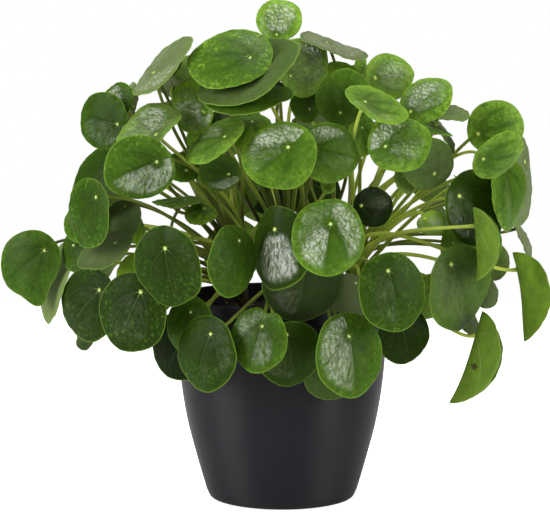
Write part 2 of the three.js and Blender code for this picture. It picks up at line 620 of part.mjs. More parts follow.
// What a petiole's path runs into, with the most weight on what belongs to another stem.
function clashes(path, leaf, leaves, routed) {
  let score = 0;
  const end = path[path.length - 1];
  const arrival = unit(add(end, path[path.length - 3], -1));
  if (dot(arrival, leaf.n) < LEAST_ARRIVAL) score += 30;
  if (Math.max(...path.map((point) => point[2])) > Math.max(end[2], path[0][2]) + MOST_LOOP) score += 30;
  for (const other of leaves) {
    const weight = other.stem === leaf.stem ? 1 : 12;
    const stop = other === leaf ? path.length - 3 : path.length;
    let before = null;
    for (let k = 0; k < stop; k += 1) {
      const away = add(path[k], other.centre, -1);
      if (length(away) > other.half * 1.25 + PETIOLE_CLEARANCE) {
        before = null;
        continue;
      }
      const over = overLeaf(other, path[k], 1.5);
      if (over !== null && Math.abs(over) < PETIOLE_CLEARANCE) score += weight;
      if (over !== null && before !== null && before * over < 0) score += weight * 2;
      before = over;
    }
  }
  for (const point of path.slice(3)) {
    if (inPot(point, PETIOLE_POT_GAP) > 0) score += 40;
    for (const [name, stem] of Object.entries(STEMS)) {
      if (name === leaf.stem || point[2] > stem.crown[2] + 6) continue;
      const axis = stemAxis(name, Math.max(point[2], SOIL_LEVEL));
      if (length(add(axis, point, -1)) < STEM_SPACING) score += 12;
    }
  }
  for (const run of routed) {
    if (run.stem === leaf.stem) {
      score += MATE_WEIGHT * nearness(path.slice(5, -1), run.path.slice(5, -1));
      continue;
    }
    for (const point of path) {
      for (const other of run.path) {
        const gap = add(point, other, -1);
        if (dot(gap, gap) < PETIOLE_SPACING * PETIOLE_SPACING) score += 6;
      }
    }
  }
  return score;
}

// How many points of one path come close to another path.
function nearness(path, other) {
  let near = 0;
  for (const point of path) {
    for (const mate of other) {
      const gap = add(point, mate, -1);
      if (dot(gap, gap) < MATE_SPACING * MATE_SPACING) near += 1;
    }
  }
  return near;
}

// Where each petiole leaves its stem: the lowest leaves lowest, the highest at the crown's top.
function footOf(leaf, leaves) {
  const mates = leaves.filter((other) => other.stem === leaf.stem);
  const mine = steepness(leaf);
  const lower = mates.filter((other) => steepness(other) < mine).length;
  const part = mates.length > 1 ? lower / (mates.length - 1) : 1;
  const height = STEMS[leaf.stem].crown[2] - 3 - CROWN_LENGTH * (1 - part);
  return stemAxis(leaf.stem, Math.max(height, SOIL_LEVEL + 8));
}

// How steeply a leaf stands over its own crown.
function steepness(leaf) {
  const from = add(leaf.centre, STEMS[leaf.stem].crown, -1);
  return Math.atan2(from[2], Math.sqrt(from[0] * from[0] + from[1] * from[1]));
}

// Chooses the clearest way for each petiole in turn.
function routePetioles(leaves) {
  const routed = [];
  for (const leaf of leaves) {
    const foot = footOf(leaf, leaves);
    let best = null;
    for (const route of ROUTES) {
      const path = petiolePath(leaf, foot, route, ROUTE_SAMPLES);
      const score = clashes(path, leaf, leaves, routed);
      if (best === null || score < best.score) best = { route, score, path };
      if (score === 0) break;
    }
    routed.push({ stem: leaf.stem, path: best.path, route: best.route, score: best.score, foot, leaf });
  }
  return routed;
}

const wasm = await Module();
wasm.setup();

function solidOf(points, triangles) {
  return new wasm.Manifold(
    new wasm.Mesh({
      numProp: 3,
      vertProperties: new Float32Array(points.flat()),
      triVerts: new Uint32Array(triangles.flat()),
    }),
  );
}

// Closed blade: the eye, a ring part of the way out from it and the outline, alike on both faces.
function bladeSolid(leaf) {
  const medium = leaf.size < MEDIUM_BLADE && leaf.form.fold === 0;
  const inner = leaf.size < SMALL_BLADE ? 4 : medium ? 5 : 6;
  const outer = inner * 2;
  const places = [[-leaf.eye, 0]];
  for (let k = 0; k < inner; k += 1) {
    const [along, aside] = inLeaf(leaf, 1, aroundLeaf(leaf, k, inner));
    places.push([(along + leaf.eye) * RING_PART - leaf.eye, aside * RING_PART]);
  }
  for (let k = 0; k < outer; k += 1) places.push(inLeaf(leaf, 1, aroundLeaf(leaf, k, outer)));
  const count = places.length;
  const top = places.map(([a, b]) => onLeaf(leaf, a, b, BLADE_THICKNESS / 2));
  const under = places.map(([a, b]) => onLeaf(leaf, a, b, -BLADE_THICKNESS / 2));
  const ring = (k) => 1 + (k % inner);
  const edge = (k) => 1 + inner + (k % outer);
  const faces = [];
  for (let k = 0; k < inner; k += 1) {
    faces.push([0, ring(k), ring(k + 1)]);
    faces.push([ring(k), edge(2 * k), edge(2 * k + 1)]);
    faces.push([ring(k), edge(2 * k + 1), ring(k + 1)]);
    faces.push([ring(k + 1), edge(2 * k + 1), edge(2 * k + 2)]);
  }
  const triangles = faces.concat(faces.map(([a, b, c]) => [a + count, c + count, b + count]));
  for (let k = 0; k < outer; k += 1) {
    const a = edge(k);
    const b = edge(k + 1);
    triangles.push([a + count, b + count, b]);
    triangles.push([a + count, b, a]);
  }
  return solidOf(top.concat(under), triangles);
}

// Angle of a corner of the outline; one of them is at the tip.
function aroundLeaf(leaf, k, count) {
  const angle = (k * 2 * Math.PI) / count + leaf.tipTurn;
  return Math.atan2(Math.sin(angle), Math.cos(angle));
}

// Closed tapering tube along points, its last ring square to a given direction.
function tubeSolid(path, radii, sides, endWay) {
  const points = [];
  const triangles = [];
  let side = unit(cross(add(path[1], path[0], -1), [0.31, 0.87, 0.12]));
  for (let k = 0; k < path.length; k += 1) {
    const before = path[Math.max(k - 1, 0)];
    const after = path[Math.min(k + 1, path.length - 1)];
    const last = k === path.length - 1;
    const way = last && endWay ? unit(endWay) : unit(add(after, before, -1));
    side = unit(add(side, way, -dot(side, way)));
    const other = cross(way, side);
    for (let s = 0; s < sides; s += 1) {
      const angle = (s * 2 * Math.PI) / sides;
      const spoke = add(scaled(side, Math.cos(angle)), other, Math.sin(angle));
      points.push(add(path[k], spoke, radii[k]));
    }
  }
  const at = (k, s) => k * sides + (s % sides);
  for (let k = 0; k + 1 < path.length; k += 1) {
    for (let s = 0; s < sides; s += 1) {
      triangles.push([at(k, s), at(k, s + 1), at(k + 1, s + 1)]);
      triangles.push([at(k, s), at(k + 1, s + 1), at(k + 1, s)]);
    }
  }
  for (let s = 1; s + 1 < sides; s += 1) {
    triangles.push([at(0, 0), at(0, s + 1), at(0, s)]);
    triangles.push([at(path.length - 1, 0), at(path.length - 1, s), at(path.length - 1, s + 1)]);
  }
  return solidOf(points, triangles);
}

function stemSolid(stem) {
  const { root, crown } = STEMS[stem];
  const path = [
    [root[0], root[1], HOLE_BOTTOM + 0.4],
    [root[0], root[1], SOIL_LEVEL + 4],
    crown,
  ];
  return tubeSolid(path, [STEM_FOOT_RADIUS, STEM_FOOT_RADIUS, STEM_TOP_RADIUS], STEM_SIDES);
}

function petioleSolid(run) {
  const span = length(add(run.leaf.centre, run.foot, -1));
  const steps = span < SHORT_PETIOLE ? SHORT_PETIOLE_STEPS : PETIOLE_STEPS;
  const path = petiolePath(run.leaf, run.foot, run.route, steps);
  const radii = path.map((_, k) => {
    const part = k / steps;
    return PETIOLE_FOOT_RADIUS + (PETIOLE_TIP_RADIUS - PETIOLE_FOOT_RADIUS) * part;
  });
  return tubeSolid(path, radii, PETIOLE_SIDES, run.leaf.n);
}

// A turned solid as a closed body.
function turned(profile, sides) {
  const turnedShape = new THREE.LatheGeometry(
    profile.map(([radius, height]) => new THREE.Vector2(radius, height)),
    sides,
  );
  turnedShape.rotateX(Math.PI / 2);
  turnedShape.deleteAttribute("normal");
  turnedShape.deleteAttribute("uv");
  const merged = mergeVertices(turnedShape, 1e-4);
  const points = [];
  const position = merged.attributes.position;
  for (let k = 0; k < position.count; k += 1) {
    points.push([position.getX(k), position.getY(k), position.getZ(k)]);
  }
  const triangles = [];
  const index = merged.index.array;
  for (let k = 0; k < index.length; k += 3) {
    const [a, b, c] = [index[k], index[k + 1], index[k + 2]];
    if (a !== b && b !== c && c !== a) triangles.push([a, b, c]);
  }
  let solid = solidOf(points, triangles);
  if (solid.volume() < 0) solid = solidOf(points, triangles.map(([a, b, c]) => [a, c, b]));
  return solid;
}

function potSolid() {
  const bore = POT_BORE.slice().reverse();
  return turned([[0, 0], ...POT_OUTLINE, ...bore, [0, POT_BORE[0][1]]], POT_SIDES);
}

// Soil: fills the pot to a bumpy level, with a plain hole for each woody stem.
function soilSolid() {
  const wall = POT_BORE.filter(([, height]) => height < SOIL_LEVEL - 3);
  const floor = POT_BORE[0][1] + SOIL_GAP;
  const side = wall.map(([radius, height]) => [radius - SOIL_GAP, Math.max(height, floor)]);
  const profile = [
    [0, floor],
    ...side,
    [radiusAt(POT_BORE, SOIL_LEVEL) - SOIL_GAP, SOIL_LEVEL - 2],
    ...SOIL_RINGS.slice().reverse().map((radius) => [radius, SOIL_LEVEL]),
  ];
  const smooth = turned(profile, POT_SIDES).getMesh();
  const points = [];
  for (let k = 0; k < smooth.vertProperties.length; k += smooth.numProp) {
    const x = smooth.vertProperties[k];
    const y = smooth.vertProperties[k + 1];
    const z = smooth.vertProperties[k + 2];
    const bump = Math.sin(x * 0.19 + 1.3) * Math.cos(y * 0.23) + 0.6 * Math.sin(x * 0.41 - y * 0.37);
    points.push([x, y, z > SOIL_LEVEL - 1 ? z + SOIL_BUMP * bump : z]);
  }
  const triangles = [];
  for (let k = 0; k < smooth.triVerts.length; k += 3) {
    triangles.push([smooth.triVerts[k], smooth.triVerts[k + 1], smooth.triVerts[k + 2]]);
  }
  let soil = solidOf(points, triangles);
  for (const { root } of Object.values(STEMS)) {
    const radius = STEM_FOOT_RADIUS + HOLE_CLEARANCE;
    const hole = tubeSolid(
      [
        [root[0], root[1], HOLE_BOTTOM],
        [root[0], root[1], SOIL_LEVEL + 12],
      ],
      [radius, radius],
      HOLE_SIDES,
    );
    soil = soil.subtract(hole);
  }
  return soil;
}

function meshOf(name, solid, colour, roughness) {
  const made = solid.getMesh();
  const geometry = new THREE.BufferGeometry();
  const positions = new Float32Array((made.vertProperties.length / made.numProp) * 3);
  for (let k = 0; k < positions.length / 3; k += 1) {
    for (let axis = 0; axis < 3; axis += 1) {
      positions[k * 3 + axis] = made.vertProperties[k * made.numProp + axis];
    }
  }
  geometry.setAttribute("position", new THREE.BufferAttribute(positions, 3));
  geometry.setIndex(new THREE.BufferAttribute(new Uint32Array(made.triVerts), 1));
  geometry.computeVertexNormals();
  const mesh = new THREE.Mesh(geometry, new THREE.MeshStandardMaterial({ color: colour, roughness }));
  mesh.name = name;
  return mesh;
}

const shown = LEAVES.map((row, index) => shownLeaf(row, index));
const leaves = shown.concat(backLeaves(shown.length));
settle(leaves);
const runs = routePetioles(leaves);

const plant = new THREE.Group();
plant.name = "potted_chinese_money_plant";
plant.add(meshOf("pot", potSolid(), 0x2b2b30, 0.6));
plant.add(meshOf("soil", soilSolid(), 0x2a1d14, 0.95));
for (const stem of Object.keys(STEMS)) {
  const pieces = [stemSolid(stem)];
  for (const run of runs) {
    if (run.stem !== stem) continue;
    pieces.push(bladeSolid(run.leaf));
    pieces.push(petioleSolid(run));
  }
  const fused = wasm.Manifold.union(pieces);
  plant.add(meshOf(`leafy_stem_${stem}`, fused.simplify(FUSE_TOLERANCE), 0x3f7a2a, 0.5));
}

export default plant;
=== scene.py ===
"""Potted chinese money plant: round leaves on thin petioles, woody stems, soil and pot.

The leaves are placed by the same table and the same rules as the solids of the frame, and each
piece built here stands for one of those solids. Lengths are millimetres until a mesh is made.
"""

import logging
import math
from dataclasses import dataclass, field
from enum import Enum
from functools import reduce
from typing import Callable, NamedTuple

import bpy
import numpy as np
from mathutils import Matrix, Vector


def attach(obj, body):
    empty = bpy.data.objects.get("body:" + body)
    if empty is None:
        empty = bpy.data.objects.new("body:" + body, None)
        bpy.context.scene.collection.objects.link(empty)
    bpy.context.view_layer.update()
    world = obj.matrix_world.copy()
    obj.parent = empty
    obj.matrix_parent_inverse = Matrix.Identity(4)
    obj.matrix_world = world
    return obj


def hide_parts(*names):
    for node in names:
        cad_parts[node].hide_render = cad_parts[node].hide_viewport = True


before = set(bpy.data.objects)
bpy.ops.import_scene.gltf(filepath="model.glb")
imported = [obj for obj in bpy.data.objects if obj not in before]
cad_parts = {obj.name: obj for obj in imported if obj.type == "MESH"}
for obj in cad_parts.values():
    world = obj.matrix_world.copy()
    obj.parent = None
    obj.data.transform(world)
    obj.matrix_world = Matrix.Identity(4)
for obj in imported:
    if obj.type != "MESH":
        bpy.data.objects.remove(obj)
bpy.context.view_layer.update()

LOG = logging.getLogger("money_plant")
MM = 0.001
TAU = 2 * math.pi
Array = np.ndarray
Pair = tuple[float, float]
Triple = tuple[float, float, float]


# The viewpoint that the leaves were placed from; picture places are in its own pixels.
@dataclass(frozen=True)
class Viewpoint:
    """A long lens a little above the plant, in front of its pot."""

    x: float = -6.6
    distance: float = 2200
    height: float = 470
    aim: float = 232
    lens: float = 152
    sensor: float = 36
    width: float = 550
    middle: Pair = (275, 256)

    @property
    def pitch(self) -> float:
        """How far the viewpoint looks down, in radians."""
        return math.atan2(self.height - self.aim, self.distance)

    @property
    def pixels(self) -> float:
        """Focal length in pixels."""
        return self.lens / self.sensor * self.width

    @property
    def eye(self) -> Array:
        """Where the viewer stands."""
        return np.array([self.x, -self.distance, self.height])

    @property
    def ahead(self) -> Array:
        """The way that the viewer looks."""
        return np.array([0, math.cos(self.pitch), -math.sin(self.pitch)])

    @property
    def upright(self) -> Array:
        """The way that is up in the picture."""
        return np.array([0, math.sin(self.pitch), math.cos(self.pitch)])

    def sight(self, x: float, y: float) -> Array:
        """Gives the direction through a picture place, one unit ahead.

        Args:
            x: Pixels from the left.
            y: Pixels from the top.

        Returns:
            The direction.
        """
        across = (x - self.middle[0]) / self.pixels
        upward = (self.middle[1] - y) / self.pixels
        return self.ahead + np.array([1, 0, 0]) * across + self.upright * upward

    def behind(self, x: float, y: float, depth: float) -> Array:
        """Gives the point behind a picture place, given the y that it has in the plant's frame."""
        way = self.sight(x, y)
        return self.eye + way * ((depth + self.distance) / way[1])

    def picture(self, points: Array) -> Array:
        """Gives the picture places of points.

        Args:
            points: Points, one a row.

        Returns:
            Picture places, one a row.
        """
        away = points - self.eye
        far = away @ self.ahead
        across = self.middle[0] + away[..., 0] / far * self.pixels
        down = self.middle[1] - (away @ self.upright) / far * self.pixels
        return np.stack([across, down], axis=-1)


VIEW = Viewpoint()


def unit(vector: Array) -> Array:
    """Scales a vector to length one."""
    return vector / max(float(np.sqrt(vector @ vector)), 1e-9)


@dataclass(frozen=True)
class StemPlace:
    """Where a woody stem is rooted and where its crown is."""

    root: Pair
    crown: Triple


class Stem(Enum):
    """The rooted stems of the clump."""

    FRONT = StemPlace((12, -50), (12, -60, 226))
    LEFT = StemPlace((-36, -14), (-38, -20, 228))
    RIGHT = StemPlace((60, -16), (72, -22, 236))
    MIDDLE = StemPlace((6, 12), (6, 14, 246))
    BACK_LEFT = StemPlace((-38, 46), (-46, 58, 232))
    BACK_RIGHT = StemPlace((44, 50), (54, 60, 232))

    @property
    def node(self) -> str:
        """Name of the frame's node for this stem."""
        return f"leafy_stem_{self.name.lower()}"

    def axis(self, height: float) -> Array:
        """Gives the point of the stem's axis at a height.

        Args:
            height: Height over the floor.

        Returns:
            The point.
        """
        root = np.array([*self.value.root, 0.0])
        crown = np.array([*self.value.crown])
        part = max(0.0, (height - SOIL_LEVEL) / (crown[2] - SOIL_LEVEL))
        point = root + (crown - root) * part
        point[2] = height
        return point


@dataclass(frozen=True)
class Form:
    """How a blade bends, as parts of half its size."""

    dome: float = 0.0
    fold: float = 0.0
    bend: float = 0.0
    saddle: float = 0.0
    wave: float = 0.03
    tip: float = 0.03
    tip_width: float = 0.42
    notch: float = 0.0


class LeafForm(Enum):
    """The leaf forms that the plant shows."""

    DOME = Form(dome=0.14, bend=0.03)
    FLAT = Form(dome=0.06, saddle=0.02, tip=0.02)
    CUP = Form(dome=-0.1, fold=0.05, tip=0.02)
    RIDGE = Form(dome=0.06, fold=-0.36, bend=0.05, wave=0.02, tip=0.05)
    FOLD = Form(dome=0.08, fold=0.42, bend=0.04, wave=0.02, tip=0.06)
    CREASE = Form(dome=0.04, fold=0.2, bend=0.02, wave=0.02)
    TACO = Form(fold=0.78, bend=0.06, wave=0.02, tip=0.1)
    SADDLE = Form(dome=0.05, saddle=0.14, wave=0.02, tip=0.02)
    WAVY = Form(dome=0.08, saddle=0.04, wave=0.09)
    POINT = Form(dome=0.12, fold=0.1, bend=0.08, wave=0.02, tip=0.14)
    DRAWN = Form(dome=0.12, fold=0.06, bend=0.06, tip=0.32, tip_width=0.34)
    HEART = Form(dome=0.09, bend=0.02, wave=0.04, tip=0.02, notch=0.16)


class LeafRow(NamedTuple):
    """A leaf that the plant shows: picture place, size in millimetres, how round it looks
    (negative for its underside), the way it faces in degrees, the picture place of its eye, its
    layer from the front, stem, form, and how far its tip is turned round it in degrees."""

    name: str
    x: float
    y: float
    size: float
    roundness: float
    faces: float
    eye_x: float
    eye_y: float
    layer: float
    stem: str
    form: str
    tip_turn: float = 0


LEAVES = [LeafRow(*row) for row in (
    ("L1", 31, 268, 62, 0.88, 180, 46, 255, 0.8, "left", "drawn", 66),
    ("L2", 81, 223, 36, 0.85, 170, 88, 214, 1.9, "left", "dome"),
    ("L3", 89, 213, 63, 0.58, 185, 101, 191, 0, "left", "dome"),
    ("L4", 101, 180, 65, 0.7, 155, 112, 168, 2.2, "left", "dome"),
    ("L5", 104, 121, 54, 0.78, 180, 122, 125, 0.4, "left", "dome"),
    ("L6", 139.5, 167, 62, 0.93, 250, 157, 160, 0, "left", "saddle"),
    ("L7", 149, 128, 64, 0.5, 120, 160, 139, 1, "left", "wavy"),
    ("L8", 118, 100, 35, 0.75, 150, 122, 103, 1.6, "left", "dome"),
    ("L8b", 131, 102, 38, -0.3, 350, 134, 108, 2.6, "left", "flat"),
    ("L9", 163, 66, 71, 0.3, 136, 155, 74, 0.6, "left", "flat"),
    ("L10", 163, 75, 44, 0.24, 132, 159, 80, 1.4, "left", "flat"),
    ("L11", 171, 84, 30, -0.75, 60, 173, 88, 2.4, "left", "flat"),
    ("L12", 194, 67, 40, 0.6, 110, 198, 72, 1.6, "middle", "dome"),
    ("L13", 230, 59, 75, 0.68, 109, 250, 60, 0, "middle", "dome"),
    ("L14", 249, 72, 97, 0.46, 119, 238, 78, 0.7, "middle", "flat"),
    ("L15", 301, 68, 56, 0.84, 30, 280, 84, 1.1, "middle", "ridge"),
    ("L16", 249, 96, 78, 0.4, 94, 262, 92, 1.1, "middle", "dome"),
    ("L17", 279, 21, 43, 0.87, 90, 276, 37, 1.6, "middle", "crease"),
    ("L18", 334, 46, 62, 0.2, 71, 332, 49, 1.2, "middle", "flat"),
    ("L19", 361, 74, 38, 0.32, 0, 360, 66, 3.2, "back_right", "dome"),
    ("L20", 343.5, 97, 51, 0.96, 270, 340, 111, 0.8, "middle", "dome"),
    ("L21", 339, 82, 42, 0.85, 90, 341, 88, 2, "middle", "dome"),
    ("L22", 377, 105, 60, 0.42, 63, 365, 104, 0, "right", "flat"),
    ("L23", 390, 77, 45, 0.9, 20, 371, 79, 1.2, "right", "ridge"),
    ("L24", 426, 101, 50, 0.78, 120, 411, 114, 0.4, "right", "dome"),
    ("L25", 446, 113, 42, 0.35, 84, 440, 112, 2, "right", "dome"),
    ("L26", 399.5, 144.5, 54, 0.94, 90, 386, 147, 0, "right", "wavy"),
    ("L27", 432, 129, 38, 0.18, 72, 428, 129, 2, "right", "flat"),
    ("L28", 442, 136, 36, 0.2, 36, 438, 126, 3, "back_right", "point"),
    ("L29", 428, 164, 50, 0.86, 320, 433, 172, 1.5, "right", "dome"),
    ("R1", 495.5, 128, 52, 0.97, 10, 478, 134, 1, "right", "dome"),
    ("R2", 498, 155, 52, 0.62, 315, 480, 158, 0, "right", "dome"),
    ("R3", 509, 194, 67, 0.47, 0, 505, 172, 0.8, "right", "point"),
    ("R4", 520, 181, 82, 0.27, 0, 518, 162, 1.8, "right", "dome"),
    ("R4b", 522, 243, 38, 0.2, 24, 516, 230, 2.2, "back_right", "point"),
    ("R5", 475, 208, 72, 0.76, 0, 456, 195, 1.6, "right", "dome"),
    ("R6", 469, 246, 62, 0.8, 350, 447, 242, 2.6, "back_right", "dome"),
    ("R7", 460, 288, 78, 0.68, 340, 453, 264, 1, "right", "point"),
    ("R8", 487, 244, 61, 0.04, 4, 477, 228, 0, "right", "taco"),
    ("R9", 432, 296, 46, 0.8, 300, 436, 284, 2, "right", "dome"),
    ("R10", 485, 292, 30, -0.8, 10, 482, 286, 2.4, "back_right", "flat"),
    ("R11", 494, 262, 34, -0.85, 350, 492, 256, 3, "back_right", "flat"),
    ("R12", 532, 297, 77, -0.02, 6, 517, 274, 1.2, "right", "taco"),
    ("R13", 476, 357, 82, 0.03, 342, 470, 332, 0.2, "right", "taco"),
    ("C1", 279, 155.5, 66, 0.9, 90, 288, 148, 0, "middle", "saddle"),
    ("C2", 328, 153, 55, 0.95, 0, 314, 150, 0.6, "middle", "dome"),
    ("C3", 214.5, 141, 61, 0.42, 128, 227, 139, 0.6, "left", "dome"),
    ("C4", 248, 130, 44, 0.75, 90, 252, 124, 2, "middle", "dome"),
    ("C5", 193, 107, 50, 0.76, 180, 205, 112, 1.5, "left", "wavy"),
    ("C6", 199, 139, 24, 0.8, 90, 201, 145, 2.4, "left", "flat"),
    ("C7", 219, 121, 28, 0.6, 100, 221, 127, 2.4, "middle", "dome"),
    ("C8", 220, 173, 37, 0.92, 270, 229, 175, 1.5, "left", "cup"),
    ("C9", 231.5, 261.5, 62, 0.69, 0, 237, 241, 0.4, "left", "dome"),
    ("C10", 168, 266, 70, 0.82, 215, 165, 248, 0, "left", "point", -16),
    ("C11", 137, 271, 40, 0.8, 130, 141, 266, 1.4, "left", "dome"),
    ("C12", 133, 312, 71, 0.86, 200, 142, 291, 0, "left", "dome"),
    ("C13", 90, 305, 69, 0.72, 190, 102, 290, 1.1, "left", "dome"),
    ("C14", 105, 250, 54, 0.5, 120, 116, 244, 1.6, "left", "flat"),
    ("C15", 61, 281, 77, 0.3, 161, 70, 258, 2, "left", "point"),
    ("C43", 81, 250, 44, 0.75, 160, 76, 246, 2.6, "left", "dome"),
    ("C16", 122, 222, 44, 0.75, 150, 126, 208, 2.2, "left", "dome"),
    ("C17", 137, 228, 32, 0.45, 15, 138, 220, 2.8, "left", "dome"),
    ("C18", 207, 354, 67, 0.78, 190, 213, 334, 0.4, "front", "dome"),
    ("C19", 181, 346, 64, 0.8, 200, 190, 330, 1.6, "left", "dome"),
    ("C20", 190, 325, 52, 0.8, 185, 193, 312, 1, "left", "dome"),
    ("C21", 259, 340.5, 57, 0.9, 180, 263, 327, 0, "front", "heart"),
    ("C22", 290, 354, 62, 0.86, 300, 286, 333, 1, "front", "dome"),
    ("C23", 331, 373, 52, 0.9, 290, 334, 358, 1.7, "front", "dome"),
    ("C24", 349, 355.5, 73, 0.84, 0, 347, 337, 0, "front", "dome"),
    ("C25", 283, 248, 71, 0.76, 180, 284, 230, 0.7, "front", "ridge"),
    ("C26", 328, 237.5, 67, 0.97, 60, 330, 225, 0, "front", "wavy"),
    ("C27", 302, 283, 74, 0.9, 280, 305, 266, 1.6, "front", "dome"),
    ("C28", 351, 295, 46, 0.8, 250, 358, 280, 1.6, "right", "flat"),
    ("C29", 392, 292, 68, 0.9, 0, 387, 271, 0, "right", "dome"),
    ("C30", 403, 336, 52, 0.88, 320, 400, 322, 1.3, "right", "dome"),
    ("C31", 373, 207, 38, 0.92, 0, 361, 205, 2.2, "right", "dome"),
    ("C32", 431, 223, 26, 0.85, 290, 421, 215, 2, "right", "ridge"),
    ("C33", 404, 180, 27, 0.6, 20, 402, 177, 2.6, "right", "flat"),
    ("C34", 306, 103, 36, 0.8, 0, 308, 109, 3, "middle", "dome"),
    ("C35", 362, 135, 38, 0.7, 0, 361, 128, 3, "back_right", "flat"),
    ("C36", 183, 167, 34, 0.8, 90, 186, 172, 2.6, "left", "dome"),
    ("C37", 178, 202, 46, 0.2, 93, 185, 203, 3.2, "back_left", "flat"),
    ("C38", 201, 214, 30, 0.65, 90, 205, 211, 3.4, "back_left", "dome"),
    ("C39", 328, 187, 14, 0.7, 60, 327, 190, 1.6, "middle", "fold"),
    ("M1", 228, 192, 62, -0.9, 90, 230, 184, 10.5, "back_left", "dome"),
    ("M2", 271, 189, 58, -0.85, 90, 271, 182, 11, "middle", "dome"),
    ("M3", 313, 193, 56, -0.9, 90, 311, 186, 10.5, "back_right", "dome"),
)]

# Windows of daylight among the petioles: picture place of the middle, half width and height
DAYLIGHT = (
    (176, 216, 44, 26),
    (366, 180, 36, 24),
    (418, 250, 30, 20),
    (278, 106, 24, 14),
    (174, 190, 12, 12),
    (340, 61, 16, 8),
    (456, 138, 20, 26),
    (505, 320, 16, 36),
)

# Pot and soil
POT_OUTLINE = np.array([
    (64, 0), (69, 2), (72.5, 9), (82, 42), (90.4, 75), (96.4, 112), (99.4, 152), (100, 194), (99.4, 195),
])
POT_BORE = np.array([(66, 5), (79, 42), (93.2, 112), (96.4, 152), (96.8, 195)])
RIM_HEIGHT = 195
SOIL_LEVEL = 176

# Clearances and rules of growth, as in the solids
NOTCH_WIDTH = 0.26
WOBBLE = 0.012
WOBBLES = 5
FOLD_SOFT = 0.01
WAVES = 3
SPREAD_SPOKES = 12
SPREAD_RINGS = (0.5, 0.8, 1)
OVER_REACH = 1.2
EDGE_ON = 0.3
EYE_NEAREST = 0.1
EYE_FURTHEST = 0.34
BLADE_LENGTHENING = 1.03
BLADE_NARROWING = 0.97
BLADE_GAP = 3.2
STEM_MATE_GAP = 1.4
POT_CLEARANCE = 8
SETTLE_PASSES = 90
SETTLE_STEP = 4
SETTLE_REACH = 1.15
SETTLE_SHARE = 0.5
SETTLE_MORE = 0.2
SETTLE_DAMPING = 0.6
PETIOLE_CLEARANCE = 3.6
PETIOLE_POT_GAP = 3.6
PETIOLE_SPACING = 6.5
STEM_SPACING = 9
MATE_SPACING = 3.8
MATE_WEIGHT = 0.25
ROUTE_SAMPLES = 26
LEAST_ARRIVAL = 0.36
MOST_LOOP = 36
CROWN_LENGTH = 46
CROWN_INSET = 3
FOOT_OVER_SOIL = 8
SWING_LEFT = 0.6
LEAF_REACH = 1.25
LEAF_MARGIN = 1.5
CROWN_MARGIN = 6

# What a petiole's way is charged for each thing that it runs into
POOR_WAY_COST = 30
OTHER_STEM_COST = 12
CROSSING_COST = 2
POT_COST = 40
RUN_COST = 6
GOLDEN_TURN = math.pi * (3 - math.sqrt(5))
GOLDEN_PART = 0.618034


class Route(NamedTuple):
    """A way for a petiole to run: how far it rises and leans out of the crown, how far behind
    the leaf it turns in, its lift there, and its swing aside, as parts of its span."""

    rise: float
    lean: float
    reach: float
    lift: float
    swing: float


ROUTES = [Route(*row) for row in (
    (0.4, 0.12, 0.26, 0, 0), (0.3, 0.25, 0.3, 0, 0), (0.55, 0.08, 0.2, 0.05, 0),
    (0.35, 0.15, 0.14, 0.12, 0), (0.35, 0.15, 0.2, -0.12, 0), (0.4, 0.12, 0.24, 0, 0.16),
    (0.4, 0.12, 0.24, 0, -0.16), (0.2, 0.35, 0.4, 0, 0), (0.6, 0.15, 0.1, 0.25, 0),
    (0.5, 0.2, 0.14, 0.1, 0.3), (0.5, 0.2, 0.14, 0.1, -0.3), (0.7, 0.3, 0.12, 0.3, 0.14),
    (0.7, 0.3, 0.12, 0.3, -0.14), (0.15, 0.1, 0.5, -0.1, 0), (0.15, 0.1, 0.34, 0.1, 0.35),
    (0.15, 0.1, 0.34, 0.1, -0.35), (0.3, 0.5, 0.05, 0.25, 0), (0.35, 0.62, 0, 0.34, 0),
    (0.45, 0.8, 0, 0.45, 0), (0.3, 0.2, 0.1, -0.25, 0), (0.5, 0, 0.3, -0.2, 0.25),
    (0.5, 0, 0.3, -0.2, -0.25), (0.8, 0, 0.2, 0, 0.5), (0.8, 0, 0.2, 0, -0.5),
    (0.9, 0.5, 0, 0.5, 0), (1.1, 0.35, 0.05, 0.6, 0),
)]


